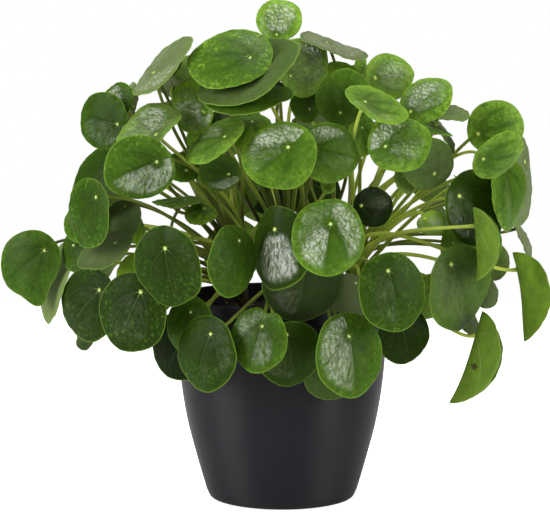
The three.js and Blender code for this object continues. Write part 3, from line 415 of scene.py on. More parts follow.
@dataclass
class Leaf:
    """A leaf: u runs from its eye to its tip, v across it, n out of its upper face."""

    name: str
    stem: Stem
    centre: Array
    n: Array
    u: Array
    size: float
    eye: float
    form: Form
    slide: Array
    phase: float
    tip_turn: float = 0.0

    def __post_init__(self) -> None:
        """Fills in what follows from the rest."""
        self.v = np.cross(self.n, self.u)
        self.half = self.size / 2
        self.eye = self.eye * self.size
        self.order = float(self.centre[1])

    def reach(self, angle: Array) -> Array:
        """Gives how far the outline is from the middle.

        Args:
            angle: Angles from the tip.

        Returns:
            Distances.
        """
        from_base = math.pi - np.abs(angle)
        turned = angle - self.tip_turn
        from_tip = np.arctan2(np.sin(turned), np.cos(turned))
        drawn = self.form.tip * np.exp(-((from_tip / self.form.tip_width) ** 2))
        cut = self.form.notch * np.exp(-((from_base / NOTCH_WIDTH) ** 2))
        wobble = WOBBLE * np.cos(WOBBLES * angle + self.phase)
        return self.half * (1 + drawn - cut + wobble)

    def in_plane(self, part: Array | float, angle: Array) -> tuple[Array, Array]:
        """Gives how far along and across the leaf a part of the way to its outline is."""
        reach = part * self.reach(angle)
        return reach * np.cos(angle) * BLADE_LENGTHENING, reach * np.sin(angle) * BLADE_NARROWING

    def rise(self, along: Array, aside: Array) -> Array:
        """Gives the blade's height over the leaf's plane.

        Args:
            along: Distances towards the tip.
            aside: Distances across.

        Returns:
            Heights.
        """
        a = along / self.half
        b = aside / self.half
        out = a * a + b * b
        form = self.form
        folded = form.fold * (np.sqrt(b * b + FOLD_SOFT) - math.sqrt(FOLD_SOFT))
        waved = form.wave * out * np.cos(WAVES * np.arctan2(b, a) + self.phase)
        bent = form.dome * out + form.bend * a * a - form.saddle * (a * a - b * b)
        return self.half * (folded + waved - bent)

    def at(self, along: Array, aside: Array, lifted: Array | float = 0.0) -> Array:
        """Gives points on the blade, lifted off its middle surface.

        Args:
            along: Distances towards the tip.
            aside: Distances across.
            lifted: Heights over the blade.

        Returns:
            Points, one a row.
        """
        along = np.asarray(along, float)
        aside = np.asarray(aside, float)
        high = self.rise(along, aside) + lifted
        return (
            self.centre
            + along[..., None] * self.u
            + aside[..., None] * self.v
            + high[..., None] * self.n
        )

    def over(self, points: Array, margin: float) -> Array:
        """Gives how far points stand over the leaf, or not a number beside it.

        Args:
            points: Points, one a row.
            margin: How far past the outline still counts.

        Returns:
            Heights over the blade.
        """
        away = points - self.centre
        along = away @ self.u
        aside = away @ self.v
        reach = np.hypot(along / BLADE_LENGTHENING, aside / BLADE_NARROWING)
        angle = np.arctan2(aside / BLADE_NARROWING, along / BLADE_LENGTHENING)
        beside = (reach > self.half * OVER_REACH + margin) | (reach > self.reach(angle) + margin)
        return np.where(beside, np.nan, away @ self.n - self.rise(along, aside))

    def spread(self) -> Array:
        """Gives points spread over the leaf."""
        angles = -math.pi + np.arange(SPREAD_SPOKES) * TAU / SPREAD_SPOKES
        rings = [self.at(*self.in_plane(part, angles)) for part in SPREAD_RINGS]
        return np.concatenate([self.at(np.zeros(1), np.zeros(1)), *rings])

    def steepness(self) -> float:
        """How steeply the leaf stands over its own crown."""
        away = self.centre - np.array(self.stem.value.crown)
        return math.atan2(away[2], math.hypot(away[0], away[1]))


def radius_at(outline: Array, height: Array | float) -> Array:
    """Gives the radius of a turned outline at heights."""
    return np.interp(height, outline[:, 1], outline[:, 0])


def in_pot(points: Array, margin: float) -> Array:
    """Gives how deep points are in the pot's wall or under the soil.

    Args:
        points: Points, one a row.
        margin: Room to keep.

    Returns:
        Depths, 0 where a point is clear.
    """
    out = np.hypot(points[:, 0], points[:, 1])
    z = points[:, 2]
    outside = radius_at(POT_OUTLINE, np.clip(z, 0, RIM_HEIGHT)) + margin - out
    inside = (z > SOIL_LEVEL + margin) & (out < POT_BORE[-1, 0] - margin)
    clear = (z > RIM_HEIGHT + margin) | (outside <= 0) | inside
    return np.where(clear, 0.0, np.minimum(outside, RIM_HEIGHT + margin - z + 1))


@dataclass
class SeededDraw:
    """A repeatable stream of numbers between 0 and 1."""

    state: int = 20817

    def __call__(self) -> float:
        """Draws the next number."""
        self.state = (self.state * 1664525 + 1013904223) % 2**32
        return self.state / 2**32

    def between(self, low: float, high: float) -> float:
        """Draws a number between two others."""
        return low + (high - low) * self()


@dataclass
class Ball:
    """The leafy ball that the shown leaves cover."""

    half_width: float = 262
    half_height: float = 258
    deep: float = 172
    middle: float = 250
    layer_step: float = 24
    usual_depth: float = -100
    flattest: float = 0.03
    eye_reach: float = 1.1
    outline_points: int = 24
    fits: int = 2

    def depth(self, x: float, y: float) -> float:
        """Gives the depth of the ball's front behind a picture place.

        Args:
            x: Pixels from the left.
            y: Pixels from the top.

        Returns:
            The y of the plant's frame.
        """
        near = VIEW.behind(x, y, self.usual_depth)
        across = near[0] / self.half_width
        upward = (near[2] - self.middle) / self.half_height
        return -self.deep * math.sqrt(max(self.flattest, 1 - across * across - upward * upward))

    def shown_leaf(self, row: LeafRow, index: int) -> Leaf:
        """Turns a row of the table into a leaf.

        Args:
            row: The row.
            index: Its place in the table.

        Returns:
            The leaf.
        """
        depth = self.depth(row.x, row.y) + row.layer * self.layer_step
        centre = VIEW.behind(row.x, row.y, depth)
        slide = unit(VIEW.sight(row.x, row.y))
        right = unit(np.cross(VIEW.upright, -slide))
        up = np.cross(-slide, right)
        faces = math.radians(row.faces)
        side = right * math.cos(faces) + up * math.sin(faces)
        n = unit(-slide * row.roundness + side * math.sqrt(1 - row.roundness**2))
        scale = float(np.linalg.norm(centre - VIEW.eye)) / VIEW.pixels
        shown = right * ((row.eye_x - row.x) * scale) + up * ((row.y - row.eye_y) * scale)
        if abs(row.roundness) < EDGE_ON:
            long = np.cross(-slide, side)
            shown = long * (shown @ long)
        steepest = self.eye_reach * row.size
        towards = np.clip((shown @ n) / (slide @ n), -steepest, steepest)
        in_plane = shown - slide * towards
        to_eye = in_plane - n * (in_plane @ n)
        eye = float(np.clip(np.linalg.norm(to_eye) / row.size, EYE_NEAREST, EYE_FURTHEST))
        leaf = Leaf(
            row.name, Stem[row.stem.upper()], centre, n, -unit(to_eye), row.size, eye,
            LeafForm[row.form.upper()].value, slide, (index * GOLDEN_TURN) % TAU,
        )
        leaf.tip_turn = math.radians(row.tip_turn)
        angles = -math.pi + np.arange(self.outline_points) * TAU / self.outline_points
        for _ in range(self.fits):
            seen = VIEW.picture(leaf.at(*leaf.in_plane(1, angles)))
            middle = (seen.min(axis=0) + seen.max(axis=0)) / 2
            leaf.centre = leaf.centre + right * ((row.x - middle[0]) * scale)
            leaf.centre = leaf.centre + up * ((middle[1] - row.y) * scale)
        return leaf


@dataclass
class BackGrowth:
    """The rule for the leaves round the back, which the view doesn't show."""

    most: int = 26
    tries: int = 420
    half_width: float = 212
    deep: float = 186
    half_height: float = 196
    middle: Triple = (0, 6, 236)
    lowest: float = -22
    highest: float = 74
    smallest: float = 54
    largest: float = 80
    spacing: float = 46
    cover_reach: float = 1.12
    cover_least: float = 0.8
    pixels: float = 1.08
    inward: float = 0.16
    tilts: Pair = (10, 44)
    rolls: Pair = (-50, 50)
    backward: float = 0.12
    middle_from: float = 58
    eye: float = 0.2
    forms: tuple[str, ...] = ("DOME", "DOME", "WAVY", "FLAT", "POINT")

    def covered(self, place: Array) -> bool:
        """Says whether a picture place is behind a leaf of the table.

        Args:
            place: The picture place.

        Returns:
            Whether a shown leaf covers it.
        """
        for row in LEAVES:
            angle = math.radians(row.faces)
            across = place[0] - row.x
            upward = row.y - place[1]
            short = across * math.cos(angle) + upward * math.sin(angle)
            long = upward * math.cos(angle) - across * math.sin(angle)
            half = row.size / 2 * self.cover_reach * self.pixels
            if (short / (half * abs(row.roundness))) ** 2 + (long / half) ** 2 < 1:
                return True
        return False

    def leaves(self, first: int) -> list[Leaf]:
        """Grows the back leaves in even directions, each facing out and up.

        Args:
            first: How many leaves there are before them.

        Returns:
            The leaves.
        """
        draw = SeededDraw()
        grown: list[Leaf] = []
        for k in range(self.tries):
            if len(grown) >= self.most:
                break
            turn = (k * GOLDEN_TURN) % TAU
            height = math.radians(draw.between(self.lowest, self.highest))
            size = draw.between(self.smallest, self.largest)
            inward = 1 - self.inward * draw()
            tilt = math.radians(draw.between(*self.tilts))
            roll = math.radians(draw.between(*self.rolls))
            flat = math.cos(height)
            way = np.array([math.cos(turn) * flat, math.sin(turn) * flat, math.sin(height)])
            if way[1] < self.backward:
                continue
            reach = np.array([self.half_width, self.deep, self.half_height])
            centre = np.array(self.middle) + way * reach * inward
            n = unit(way * math.cos(tilt) + np.array([0, 0, 1]) * math.sin(tilt))
            level = unit(np.cross([0, 0, 1], n))
            u = unit(level * math.sin(roll) - np.cross(level, n) * math.cos(roll))
            u = -u if u[2] > 0 else u
            side = Stem.BACK_LEFT if centre[0] < 0 else Stem.BACK_RIGHT
            stem = Stem.MIDDLE if height > math.radians(self.middle_from) else side
            form = LeafForm[self.forms[int(draw() * len(self.forms))]].value
            name = f"B{len(grown) + 1}"
            phase = ((first + k) * GOLDEN_TURN) % TAU
            leaf = Leaf(name, stem, centre, n, u, size, self.eye, form, way, phase)
            if any(np.linalg.norm(mate.centre - centre) < self.spacing for mate in grown):
                continue
            places = VIEW.picture(leaf.spread())
            hidden = sum(self.covered(place) for place in places)
            lit = any(
                (((places[:, 0] - x) / wide) ** 2 + ((places[:, 1] - y) / high) ** 2 < 1).any()
                for x, y, wide, high in DAYLIGHT
            )
            if not lit and hidden >= len(places) * self.cover_least:
                grown.append(leaf)
        return grown


@dataclass
class Petiole:
    """A petiole's run from the crown to the eye of its leaf."""

    leaf: Leaf
    foot: Array
    route: Route
    path: Array


def petiole_path(leaf: Leaf, foot: Array, route: Route, steps: int) -> Array:
    """Gives points along a petiole for one way of running.

    Args:
        leaf: The leaf that it carries.
        foot: Where it leaves its stem.
        route: The way that it runs.
        steps: How many steps to take.

    Returns:
        Points, one a row.
    """
    eye = leaf.at(np.array([-leaf.eye]), np.zeros(1))[0]
    span = float(np.linalg.norm(eye - foot))
    outward = unit(np.array([eye[0] - foot[0], eye[1] - foot[1], 0]))
    aside = np.array([-outward[1], outward[0], 0])
    up = np.array([0, 0, 1])
    swung = aside * route.swing * span
    first = foot + up * route.rise * span + outward * route.lean * span + swung
    last = eye - leaf.n * route.reach * span + up * route.lift * span + swung * SWING_LEFT
    t = (np.arange(steps + 1) / steps)[:, None]
    s = 1 - t
    return foot * s**3 + first * 3 * s * s * t + last * 3 * s * t * t + eye * t**3


@dataclass
class Clump:
    """All the leaves, settled so that none is caught in another, with their petioles."""

    leaves: list[Leaf] = field(default_factory=list)
    petioles: list[Petiole] = field(default_factory=list)

    def grow(self) -> None:
        """Places the leaves, settles them and runs the petioles."""
        ball = Ball()
        self.leaves = [ball.shown_leaf(row, index) for index, row in enumerate(LEAVES)]
        self.leaves += BackGrowth().leaves(len(self.leaves))
        self.settle()
        for leaf in self.leaves:
            self.petioles.append(self.clearest(leaf))

    def settle(self) -> None:
        """Slides leaves along their lines of sight, for a set number of passes, so that none is caught in
        another.
        """
        leaves = self.leaves
        count = len(leaves)
        offsets = [leaf.spread() - leaf.centre for leaf in leaves]
        halves = np.array([leaf.half for leaf in leaves])
        limits = (halves[:, None] + halves[None, :]) * SETTLE_REACH + BLADE_GAP
        for _ in range(SETTLE_PASSES):
            pushes = np.zeros(count)
            centres = np.array([leaf.centre for leaf in leaves])
            points = [leaf.centre + offset for leaf, offset in zip(leaves, offsets)]
            apart = np.linalg.norm(centres[:, None] - centres[None, :], axis=2)
            for i, j in zip(*np.nonzero(np.triu(apart <= limits, 1))):
                a, b = leaves[i], leaves[j]
                gap = STEM_MATE_GAP if a.stem is b.stem else BLADE_GAP
                deep = max(self.caught(a, points[j], gap), self.caught(b, points[i], gap))
                if deep <= 0:
                    continue
                way = min(SETTLE_STEP, deep * SETTLE_SHARE + SETTLE_MORE)
                way *= 1 if a.order <= b.order else -1
                pushes[i] -= way
                pushes[j] += way
            for i, leaf in enumerate(leaves):
                deepest = float(in_pot(points[i], POT_CLEARANCE).max())
                outward = -1 if leaf.centre[1] < 0 else 1
                moved = max(-SETTLE_STEP, min(SETTLE_STEP, pushes[i])) * SETTLE_DAMPING
                cleared = outward * min(SETTLE_STEP, deepest) if deepest > 0 else 0
                leaf.centre = leaf.centre + leaf.slide * (moved + cleared)

    @staticmethod
    def caught(leaf: Leaf, points: Array, gap: float) -> float:
        """Gives how deep points are caught in a leaf.

        Args:
            leaf: The leaf.
            points: Another leaf's points.
            gap: The gap that they keep.

        Returns:
            The depth, 0 where they are clear.
        """
        over = leaf.over(points, gap)
        over = over[~np.isnan(over)]
        if not over.size:
            return 0.0
        low, high = float(over.min()), float(over.max())
        if low >= gap or high <= -gap:
            return 0.0
        return min(gap - low, high + gap)

    def foot(self, leaf: Leaf) -> Array:
        """Gives where a petiole leaves its stem: the lowest leaves lowest.

        Args:
            leaf: The leaf.

        Returns:
            The point on the stem's axis.
        """
        mates = [mate for mate in self.leaves if mate.stem is leaf.stem]
        mine = leaf.steepness()
        lower = sum(mate.steepness() < mine for mate in mates)
        part = lower / (len(mates) - 1) if len(mates) > 1 else 1
        height = leaf.stem.value.crown[2] - CROWN_INSET - CROWN_LENGTH * (1 - part)
        return leaf.stem.axis(max(height, SOIL_LEVEL + FOOT_OVER_SOIL))

    def clearest(self, leaf: Leaf) -> Petiole:
        """Chooses the clearest way for a petiole.

        Args:
            leaf: The leaf that it carries.

        Returns:
            The petiole.
        """
        foot = self.foot(leaf)
        best: Petiole | None = None
        least = math.inf
        for route in ROUTES:
            path = petiole_path(leaf, foot, route, ROUTE_SAMPLES)
            score = self.clashes(path, leaf)
            if score < least:
                best, least = Petiole(leaf, foot, route, path), score
            if score == 0:
                break
        return best

    def clashes(self, path: Array, leaf: Leaf) -> float:
        """Scores what a petiole's path runs into.

        Args:
            path: Points along it.
            leaf: The leaf that it carries.

        Returns:
            The score, 0 for a clear way.
        """
        score = 0.0
        end = path[-1]
        if unit(end - path[-3]) @ leaf.n < LEAST_ARRIVAL:
            score += POOR_WAY_COST
        if path[:, 2].max() > max(end[2], path[0][2]) + MOST_LOOP:
            score += POOR_WAY_COST
        for other in self.leaves:
            stop = len(path) - 3 if other is leaf else len(path)
            reach = other.half * LEAF_REACH + PETIOLE_CLEARANCE
            near = np.linalg.norm(path - other.centre, axis=1) <= reach
            near[stop:] = False
            if not near.any():
                continue
            over = np.where(near, other.over(path, LEAF_MARGIN), np.nan)
            cost = 1 if other.stem is leaf.stem else OTHER_STEM_COST
            score += cost * int((np.abs(over) < PETIOLE_CLEARANCE).sum())
            score += cost * CROSSING_COST * int((over[1:] * over[:-1] < 0).sum())
        outer = path[3:]
        score += POT_COST * int((in_pot(outer, PETIOLE_POT_GAP) > 0).sum())
        for stem in Stem:
            if stem is leaf.stem:
                continue
            for point in outer[outer[:, 2] <= stem.value.crown[2] + CROWN_MARGIN]:
                axis = stem.axis(max(point[2], SOIL_LEVEL))
                score += OTHER_STEM_COST * (np.linalg.norm(axis - point) < STEM_SPACING)
        for run in self.petioles:
            if run.leaf.stem is leaf.stem:
                score += MATE_WEIGHT * self.near(path[5:-1], run.path[5:-1], MATE_SPACING)
            else:
                score += RUN_COST * self.near(path, run.path, PETIOLE_SPACING)
        return score

    @staticmethod
    def near(path: Array, other: Array, spacing: float) -> int:
        """Counts the pairs of points of two paths that come close.

        Args:
            path: One path.
            other: The other path.
            spacing: How close counts.

        Returns:
            The count.
        """
        gaps = path[:, None] - other[None, :]
        return int(((gaps * gaps).sum(axis=2) < spacing * spacing).sum())


# How light a leaf is, from 0, deep shade green, to 1, young green, partly its own tone and partly
# painted light and shade: a leaf that looks more lit among the others is set lighter, up to past 1,
# one that looks shaded is set darker, down to the back leaves M1 to M3 that fill the deep shade
# inside the clump; the rest are in the middle
LIGHT_AND_SHADE_TONES = {
    "L1": 0.31, "L2": 0.36, "L3": 0.27, "L4": 0.21, "L5": 0.24, "L6": 0.37, "L7": 0.6, "L8": 0.32,
    "L9": 0.6, "L11": 0.75, "L12": 1.05, "L13": 0.46, "L14": 0.31, "L15": 0.68, "L16": 0.32, "L17": 0.68,
    "L18": 0.7, "L19": 0.75, "L20": 0.46, "L21": 1.3, "L22": 0.66, "L23": 0.66, "L24": 0.57, "L25": 0.6,
    "L26": 0.54, "L27": 0.55, "L28": 0.6, "L29": 0.45, "R1": 0.62, "R2": 0.58, "R3": 0.48, "R4": 0.65,
    "R4b": 0.7, "R5": 0.26, "R6": 1.9, "R7": 0.4, "R8": 0.42, "R9": 1.0, "R11": 1.0, "R12": 0.75,
    "R13": 0.36, "C1": 0.52, "C2": 0.44, "C3": 0.57, "C4": 0.7, "C5": 0.62, "C6": 2.2, "C7": 0.3,
    "C8": 0.3, "C9": 0.29, "C10": 0.14, "C11": 1.7, "C12": 0.1, "C13": 0.1, "C14": 0.25, "C15": 0.8,
    "C43": 0.28, "C16": 0.3, "C17": 0.8, "C18": 0.14, "C19": 0.0, "C20": 0.32, "C21": 0.33, "C22": 0.17,
    "C23": 0.24, "C24": 0.37, "C25": 0.14, "C26": 0.46, "C27": 0.12, "C29": 0.24, "C30": 0.06, "C31": 0.0,
    "C32": 1.4, "C33": 1.6, "C34": 0.42, "C35": 0.6, "C36": 0.42, "C37": 0.55, "C38": 0.62, "C39": 0.5,
    "M1": 0.25, "M2": 0.0, "M3": 0.0,
}
TONE_USUAL = 0.38

# How grey and matt a leaf is, partly its own grey-green and partly a painted pale sheen where its
# face catches the soft light; the rest aren't
GREYS_AND_SHEEN = {
    "L7": 0.35, "L8b": 0.7, "L9": 0.8, "L11": 0.9, "L12": 0.5, "L14": 0.28, "L15": 0.15, "L18": 1.0,
    "L22": 0.15, "L23": 0.12, "L25": 0.7, "L27": 0.2, "L28": 0.6, "L29": 0.4, "R4": 0.8, "R4b": 1.0,
    "R6": 0.2, "R7": 0.2, "R9": 0.3, "R10": 0.6, "R11": 0.6, "C3": 0.1, "C14": 0.5, "C15": 0.8,
    "C16": 0.4, "C23": 0.2, "C27": 0.2, "C28": 0.8, "C33": 0.5, "C37": 0.2,
}

# How strongly four lobes of a leaf shine, with wax and with a painted pale sheen, from beyond one
# side vein round to beyond the other
LOBES = {
    "L1": (0.2, 0, 0.2, 0), "L3": (0.1, 0.1, 0.1, 0.1), "L4": (0.1, 0.2, 0.3, 0.1),
    "L5": (0.1, 0, 0.35, 0.4), "L6": (0, 0.1, 0.62, 0.66), "L7": (0.3, 0.72, 0.5, 0.5),
    "L8": (0.3, 0.8, 0, 0), "L9": (0.6, 0.3, 0.4, 0.5), "L13": (0.45, 0.25, 0.1, 0),
    "L14": (0.3, 0.2, 0.1, 0.2), "L15": (0.5, 0.8, 0.9, 0.6), "L16": (0.2, 0.3, 0.3, 0.2),
    "L17": (0.3, 0.9, 0.8, 0.5), "L18": (0.6, 0.6, 0.6, 0.6), "L20": (0.3, 0.2, 0.1, 0.1),
    "L22": (0.5, 0.1, 0.1, 0.1), "L23": (0.2, 0.6, 0.7, 0.4), "L24": (0, 0.6, 1, 0.5),
    "L25": (0.4, 0.4, 0.5, 0.4), "L26": (0.3, 0.55, 0.4, 1), "L28": (0.8, 0.8, 0.8, 0.8),
    "L29": (0.5, 0.4, 0, 0.2), "R1": (0.2, 0.2, 0, 0.1), "R2": (0.3, 0.1, 0, 0.4), "R3": (0.2, 0.4, 0, 0),
    "R4": (0.65, 0.65, 0.65, 0.65), "R4b": (0.9, 0.9, 0.9, 0.9), "R5": (0.6, 0.4, 0, 0.1),
    "R7": (0.5, 0.5, 0.3, 0.1), "R8": (0.2, 0.3, 0.8, 0.8), "C1": (1, 0.45, 0, 0),
    "C2": (0.1, 0.5, 0.2, 0.9), "C3": (0, 0.5, 0.2, 0.2), "C5": (0.4, 0.6, 0.8, 0.8),
    "C8": (0.3, 0.2, 0.2, 0.7), "C9": (0.15, 0, 0.1, 0.25), "C10": (0.22, 0.1, 0, 0.25),
    "C12": (0, 0.3, 0.3, 0.05), "C13": (0.05, 0.25, 0.25, 0), "C14": (0, 0.15, 0.3, 0.2),
    "C18": (0.1, 0, 0.28, 0.32), "C21": (0.5, 0.3, 0.5, 0.2), "C22": (0.9, 0.5, 0.2, 0),
    "C23": (0.2, 0.2, 0.2, 0), "C24": (0.7, 0.85, 0.25, 0.1), "C25": (0, 0.85, 0.95, 0.1),
    "C26": (0.5, 0.85, 0.1, 0.85), "C27": (0.5, 0.5, 0, 0), "C28": (0, 0.2, 0.4, 0.4),
    "C29": (0.3, 0.4, 0.1, 0), "C30": (0.1, 0.1, 0.2, 0.25), "C31": (0.2, 0.1, 0.5, 0.1),
    "C32": (0.8, 0.5, 0.9, 0.5),
}

# How strongly a leaf is speckled; the rest are lightly
SPECKLES = {
    "L1": 0.35, "L3": 1.0, "L5": 0.7, "L6": 1.0, "L13": 1.0, "L22": 0.4, "L24": 0.7, "R1": 0.6,
    "C1": 0.35, "C5": 0.6, "C9": 0.7, "C10": 0.9, "C12": 1.0, "C13": 1.0, "C18": 0.7, "C21": 0.7,
    "C24": 0.6, "C26": 0.6, "C29": 0.9,
}
SPECKLE_USUAL = 0.35

Colour = Triple
Lobes = tuple[float, float, float, float]
Socket = bpy.types.NodeSocket


# The tint of a shape whose finish reads none, and what the first spoke of a tube turns away from
PLAIN = (0.5, 0, 0)
TUBE_START = (0.31, 0.87, 0.12)


@dataclass
class MeshDraft:
    """Points and faces gathered for one piece, with the marks that its finishes read."""

    name: str
    points: list[Array] = field(default_factory=list)
    faces: list[tuple[Array, int]] = field(default_factory=list)
    places: list[Array] = field(default_factory=list)
    tints: list[Array] = field(default_factory=list)
    lobes: list[Array] = field(default_factory=list)
    count: int = 0

    def add(
        self,
        points: Array,
        faces: list[tuple[Array, int]],
        tint: Triple,
        place: Array,
        lobes: Lobes = (0, 0, 0, 0),
    ) -> None:
        """Adds one closed shape.

        Args:
            points: Its points in millimetres, one a row.
            faces: Arrays of faces, each with the number of its finish.
            tint: Three numbers for its finish, alike all over the shape. A blade has how light, grey
            and speckled it is, its lightness and greyness partly painted light, shade and sheen, a
            petiole how pale it is and how much painted shade darkens its foot, and soil how light and pale.
            place: Each point's place on the shape, and how far out it is.
            lobes: How strongly its four lobes shine.
        """
        self.points.append(points)
        self.faces += [(made + self.count, finish) for made, finish in faces]
        self.places.append(place)
        self.tints.append(np.tile((*tint, 1), (len(points), 1)))
        self.lobes.append(np.tile(lobes, (len(points), 1)))
        self.count += len(points)

    def add_rings(self, points: Array, sides: int, tint: Triple, finish: int = 0) -> None:
        """Adds rings of points that a point at each end closes.

        Args:
            points: The rings' points, then the first end and the last end.
            sides: Points in each ring.
            tint: As for any shape.
            finish: Number of its finish.
        """
        rings = (len(points) - 2) // sides
        count = rings * sides
        faces = (
            ring_faces(rings, sides),
            fan_faces(count, sides, 0, True),
            fan_faces(count + 1, sides, count - sides, False),
        )
        place = np.zeros((len(points), 3))
        place[:, 2] = [*np.repeat(np.linspace(0, 1, rings), sides), 0, 1]
        self.add(points, [(made, finish) for made in faces], tint, place)

    def build(self, finishes: list[bpy.types.Material]) -> bpy.types.Object:
        """Makes the Blender object.

        Args:
            finishes: Its materials, by the faces' numbers.

        Returns:
            The object.
        """
        mesh = bpy.data.meshes.new(self.name)
        mesh.vertices.add(self.count)
        mesh.vertices.foreach_set("co", (np.concatenate(self.points) * MM).astype(np.float32).ravel())
        corners = np.concatenate([made.ravel() for made, _ in self.faces])
        sizes = np.concatenate([np.full(len(made), made.shape[1]) for made, _ in self.faces])
        numbers = np.concatenate([np.full(len(made), finish) for made, finish in self.faces])
        mesh.loops.add(len(corners))
        mesh.loops.foreach_set("vertex_index", corners.astype(np.int32))
        mesh.polygons.add(len(sizes))
        starts = np.concatenate([[0], np.cumsum(sizes)[:-1]])
        mesh.polygons.foreach_set("loop_start", starts.astype(np.int32))
        mesh.polygons.foreach_set("material_index", numbers.astype(np.int32))
        mesh.polygons.foreach_set("use_smooth", np.ones(len(sizes), bool))
        for label, kind, key, rows in (
            ("place", "FLOAT_VECTOR", "vector", self.places),
            ("tint", "FLOAT_COLOR", "color", self.tints),
            ("lobes", "FLOAT_COLOR", "color", self.lobes),
        ):
            mark = mesh.attributes.new(label, kind, "POINT")
            mark.data.foreach_set(key, np.concatenate(rows).astype(np.float32).ravel())
        mesh.update(calc_edges=True)
        for finish in finishes:
            mesh.materials.append(finish)
        made = bpy.data.objects.new(self.name, mesh)
        bpy.context.collection.objects.link(made)
        return made


def ring_faces(rows: int, columns: int, first: int = 0) -> Array:
    """Gives the faces between rings of points that each close on themselves.

    Args:
        rows: How many rings.
        columns: Points in each ring.
        first: Number of the first point.

    Returns:
        Faces of four corners, one a row, facing out where the rings turn left going up.
    """
    row, column = np.meshgrid(np.arange(rows - 1), np.arange(columns), indexing="ij")
    after = (column + 1) % columns
    low, high = row * columns, (row + 1) * columns
    quads = np.stack([low + column, low + after, high + after, high + column], axis=-1)
    return quads.reshape(-1, 4) + first


def fan_faces(centre: int, columns: int, first: int, turned: bool) -> Array:
    """Gives the faces from a middle point to a ring.

    Args:
        centre: Number of the middle point.
        columns: Points in the ring.
        first: Number of the ring's first point.
        turned: Whether they face the other way.

    Returns:
        Faces of three corners, one a row.
    """
    here = np.arange(columns)
    after = (here + 1) % columns
    fan = np.stack([np.full(columns, centre), here + first, after + first], axis=-1)
    return fan[:, ::-1] if turned else fan


def tube(path: Array, radii: Array, sides: int) -> Array:
    """Gives the rings and ends of a round tube.

    Args:
        path: Points of its axis, one a row.
        radii: Its radius at each of them.
        sides: Points round it.

    Returns:
        Its points, the two ends last.
    """
    ways = np.gradient(path, axis=0)
    ways /= np.linalg.norm(ways, axis=1)[:, None]
    side = unit(np.cross(ways[0], TUBE_START))
    angles = np.arange(sides) * TAU / sides
    rings = []
    for point, way, radius in zip(path, ways, radii):
        side = unit(side - way * (side @ way))
        other = np.cross(way, side)
        spokes = np.cos(angles)[:, None] * side + np.sin(angles)[:, None] * other
        rings.append(point + spokes * radius)
    return np.concatenate([*rings, path[:1], path[-1:]])


class Vein(NamedTuple):
    """A vein: its angle from the midrib at the eye, how it turns going out, the width of its line
    in half sizes, how strong the line is and how deep its groove."""

    start: float
    turn: float
    width: float
    strength: float
    depth: float


# The midrib, then the vein on each side of it, then the outer ones
VEINS = (
    Vein(0.0, 0.0, 0.016, 1.0, 1.0),
    Vein(1.02, -0.42, 0.013, 0.8, 0.75),
    Vein(1.98, -0.4, 0.01, 0.45, 0.35),
)


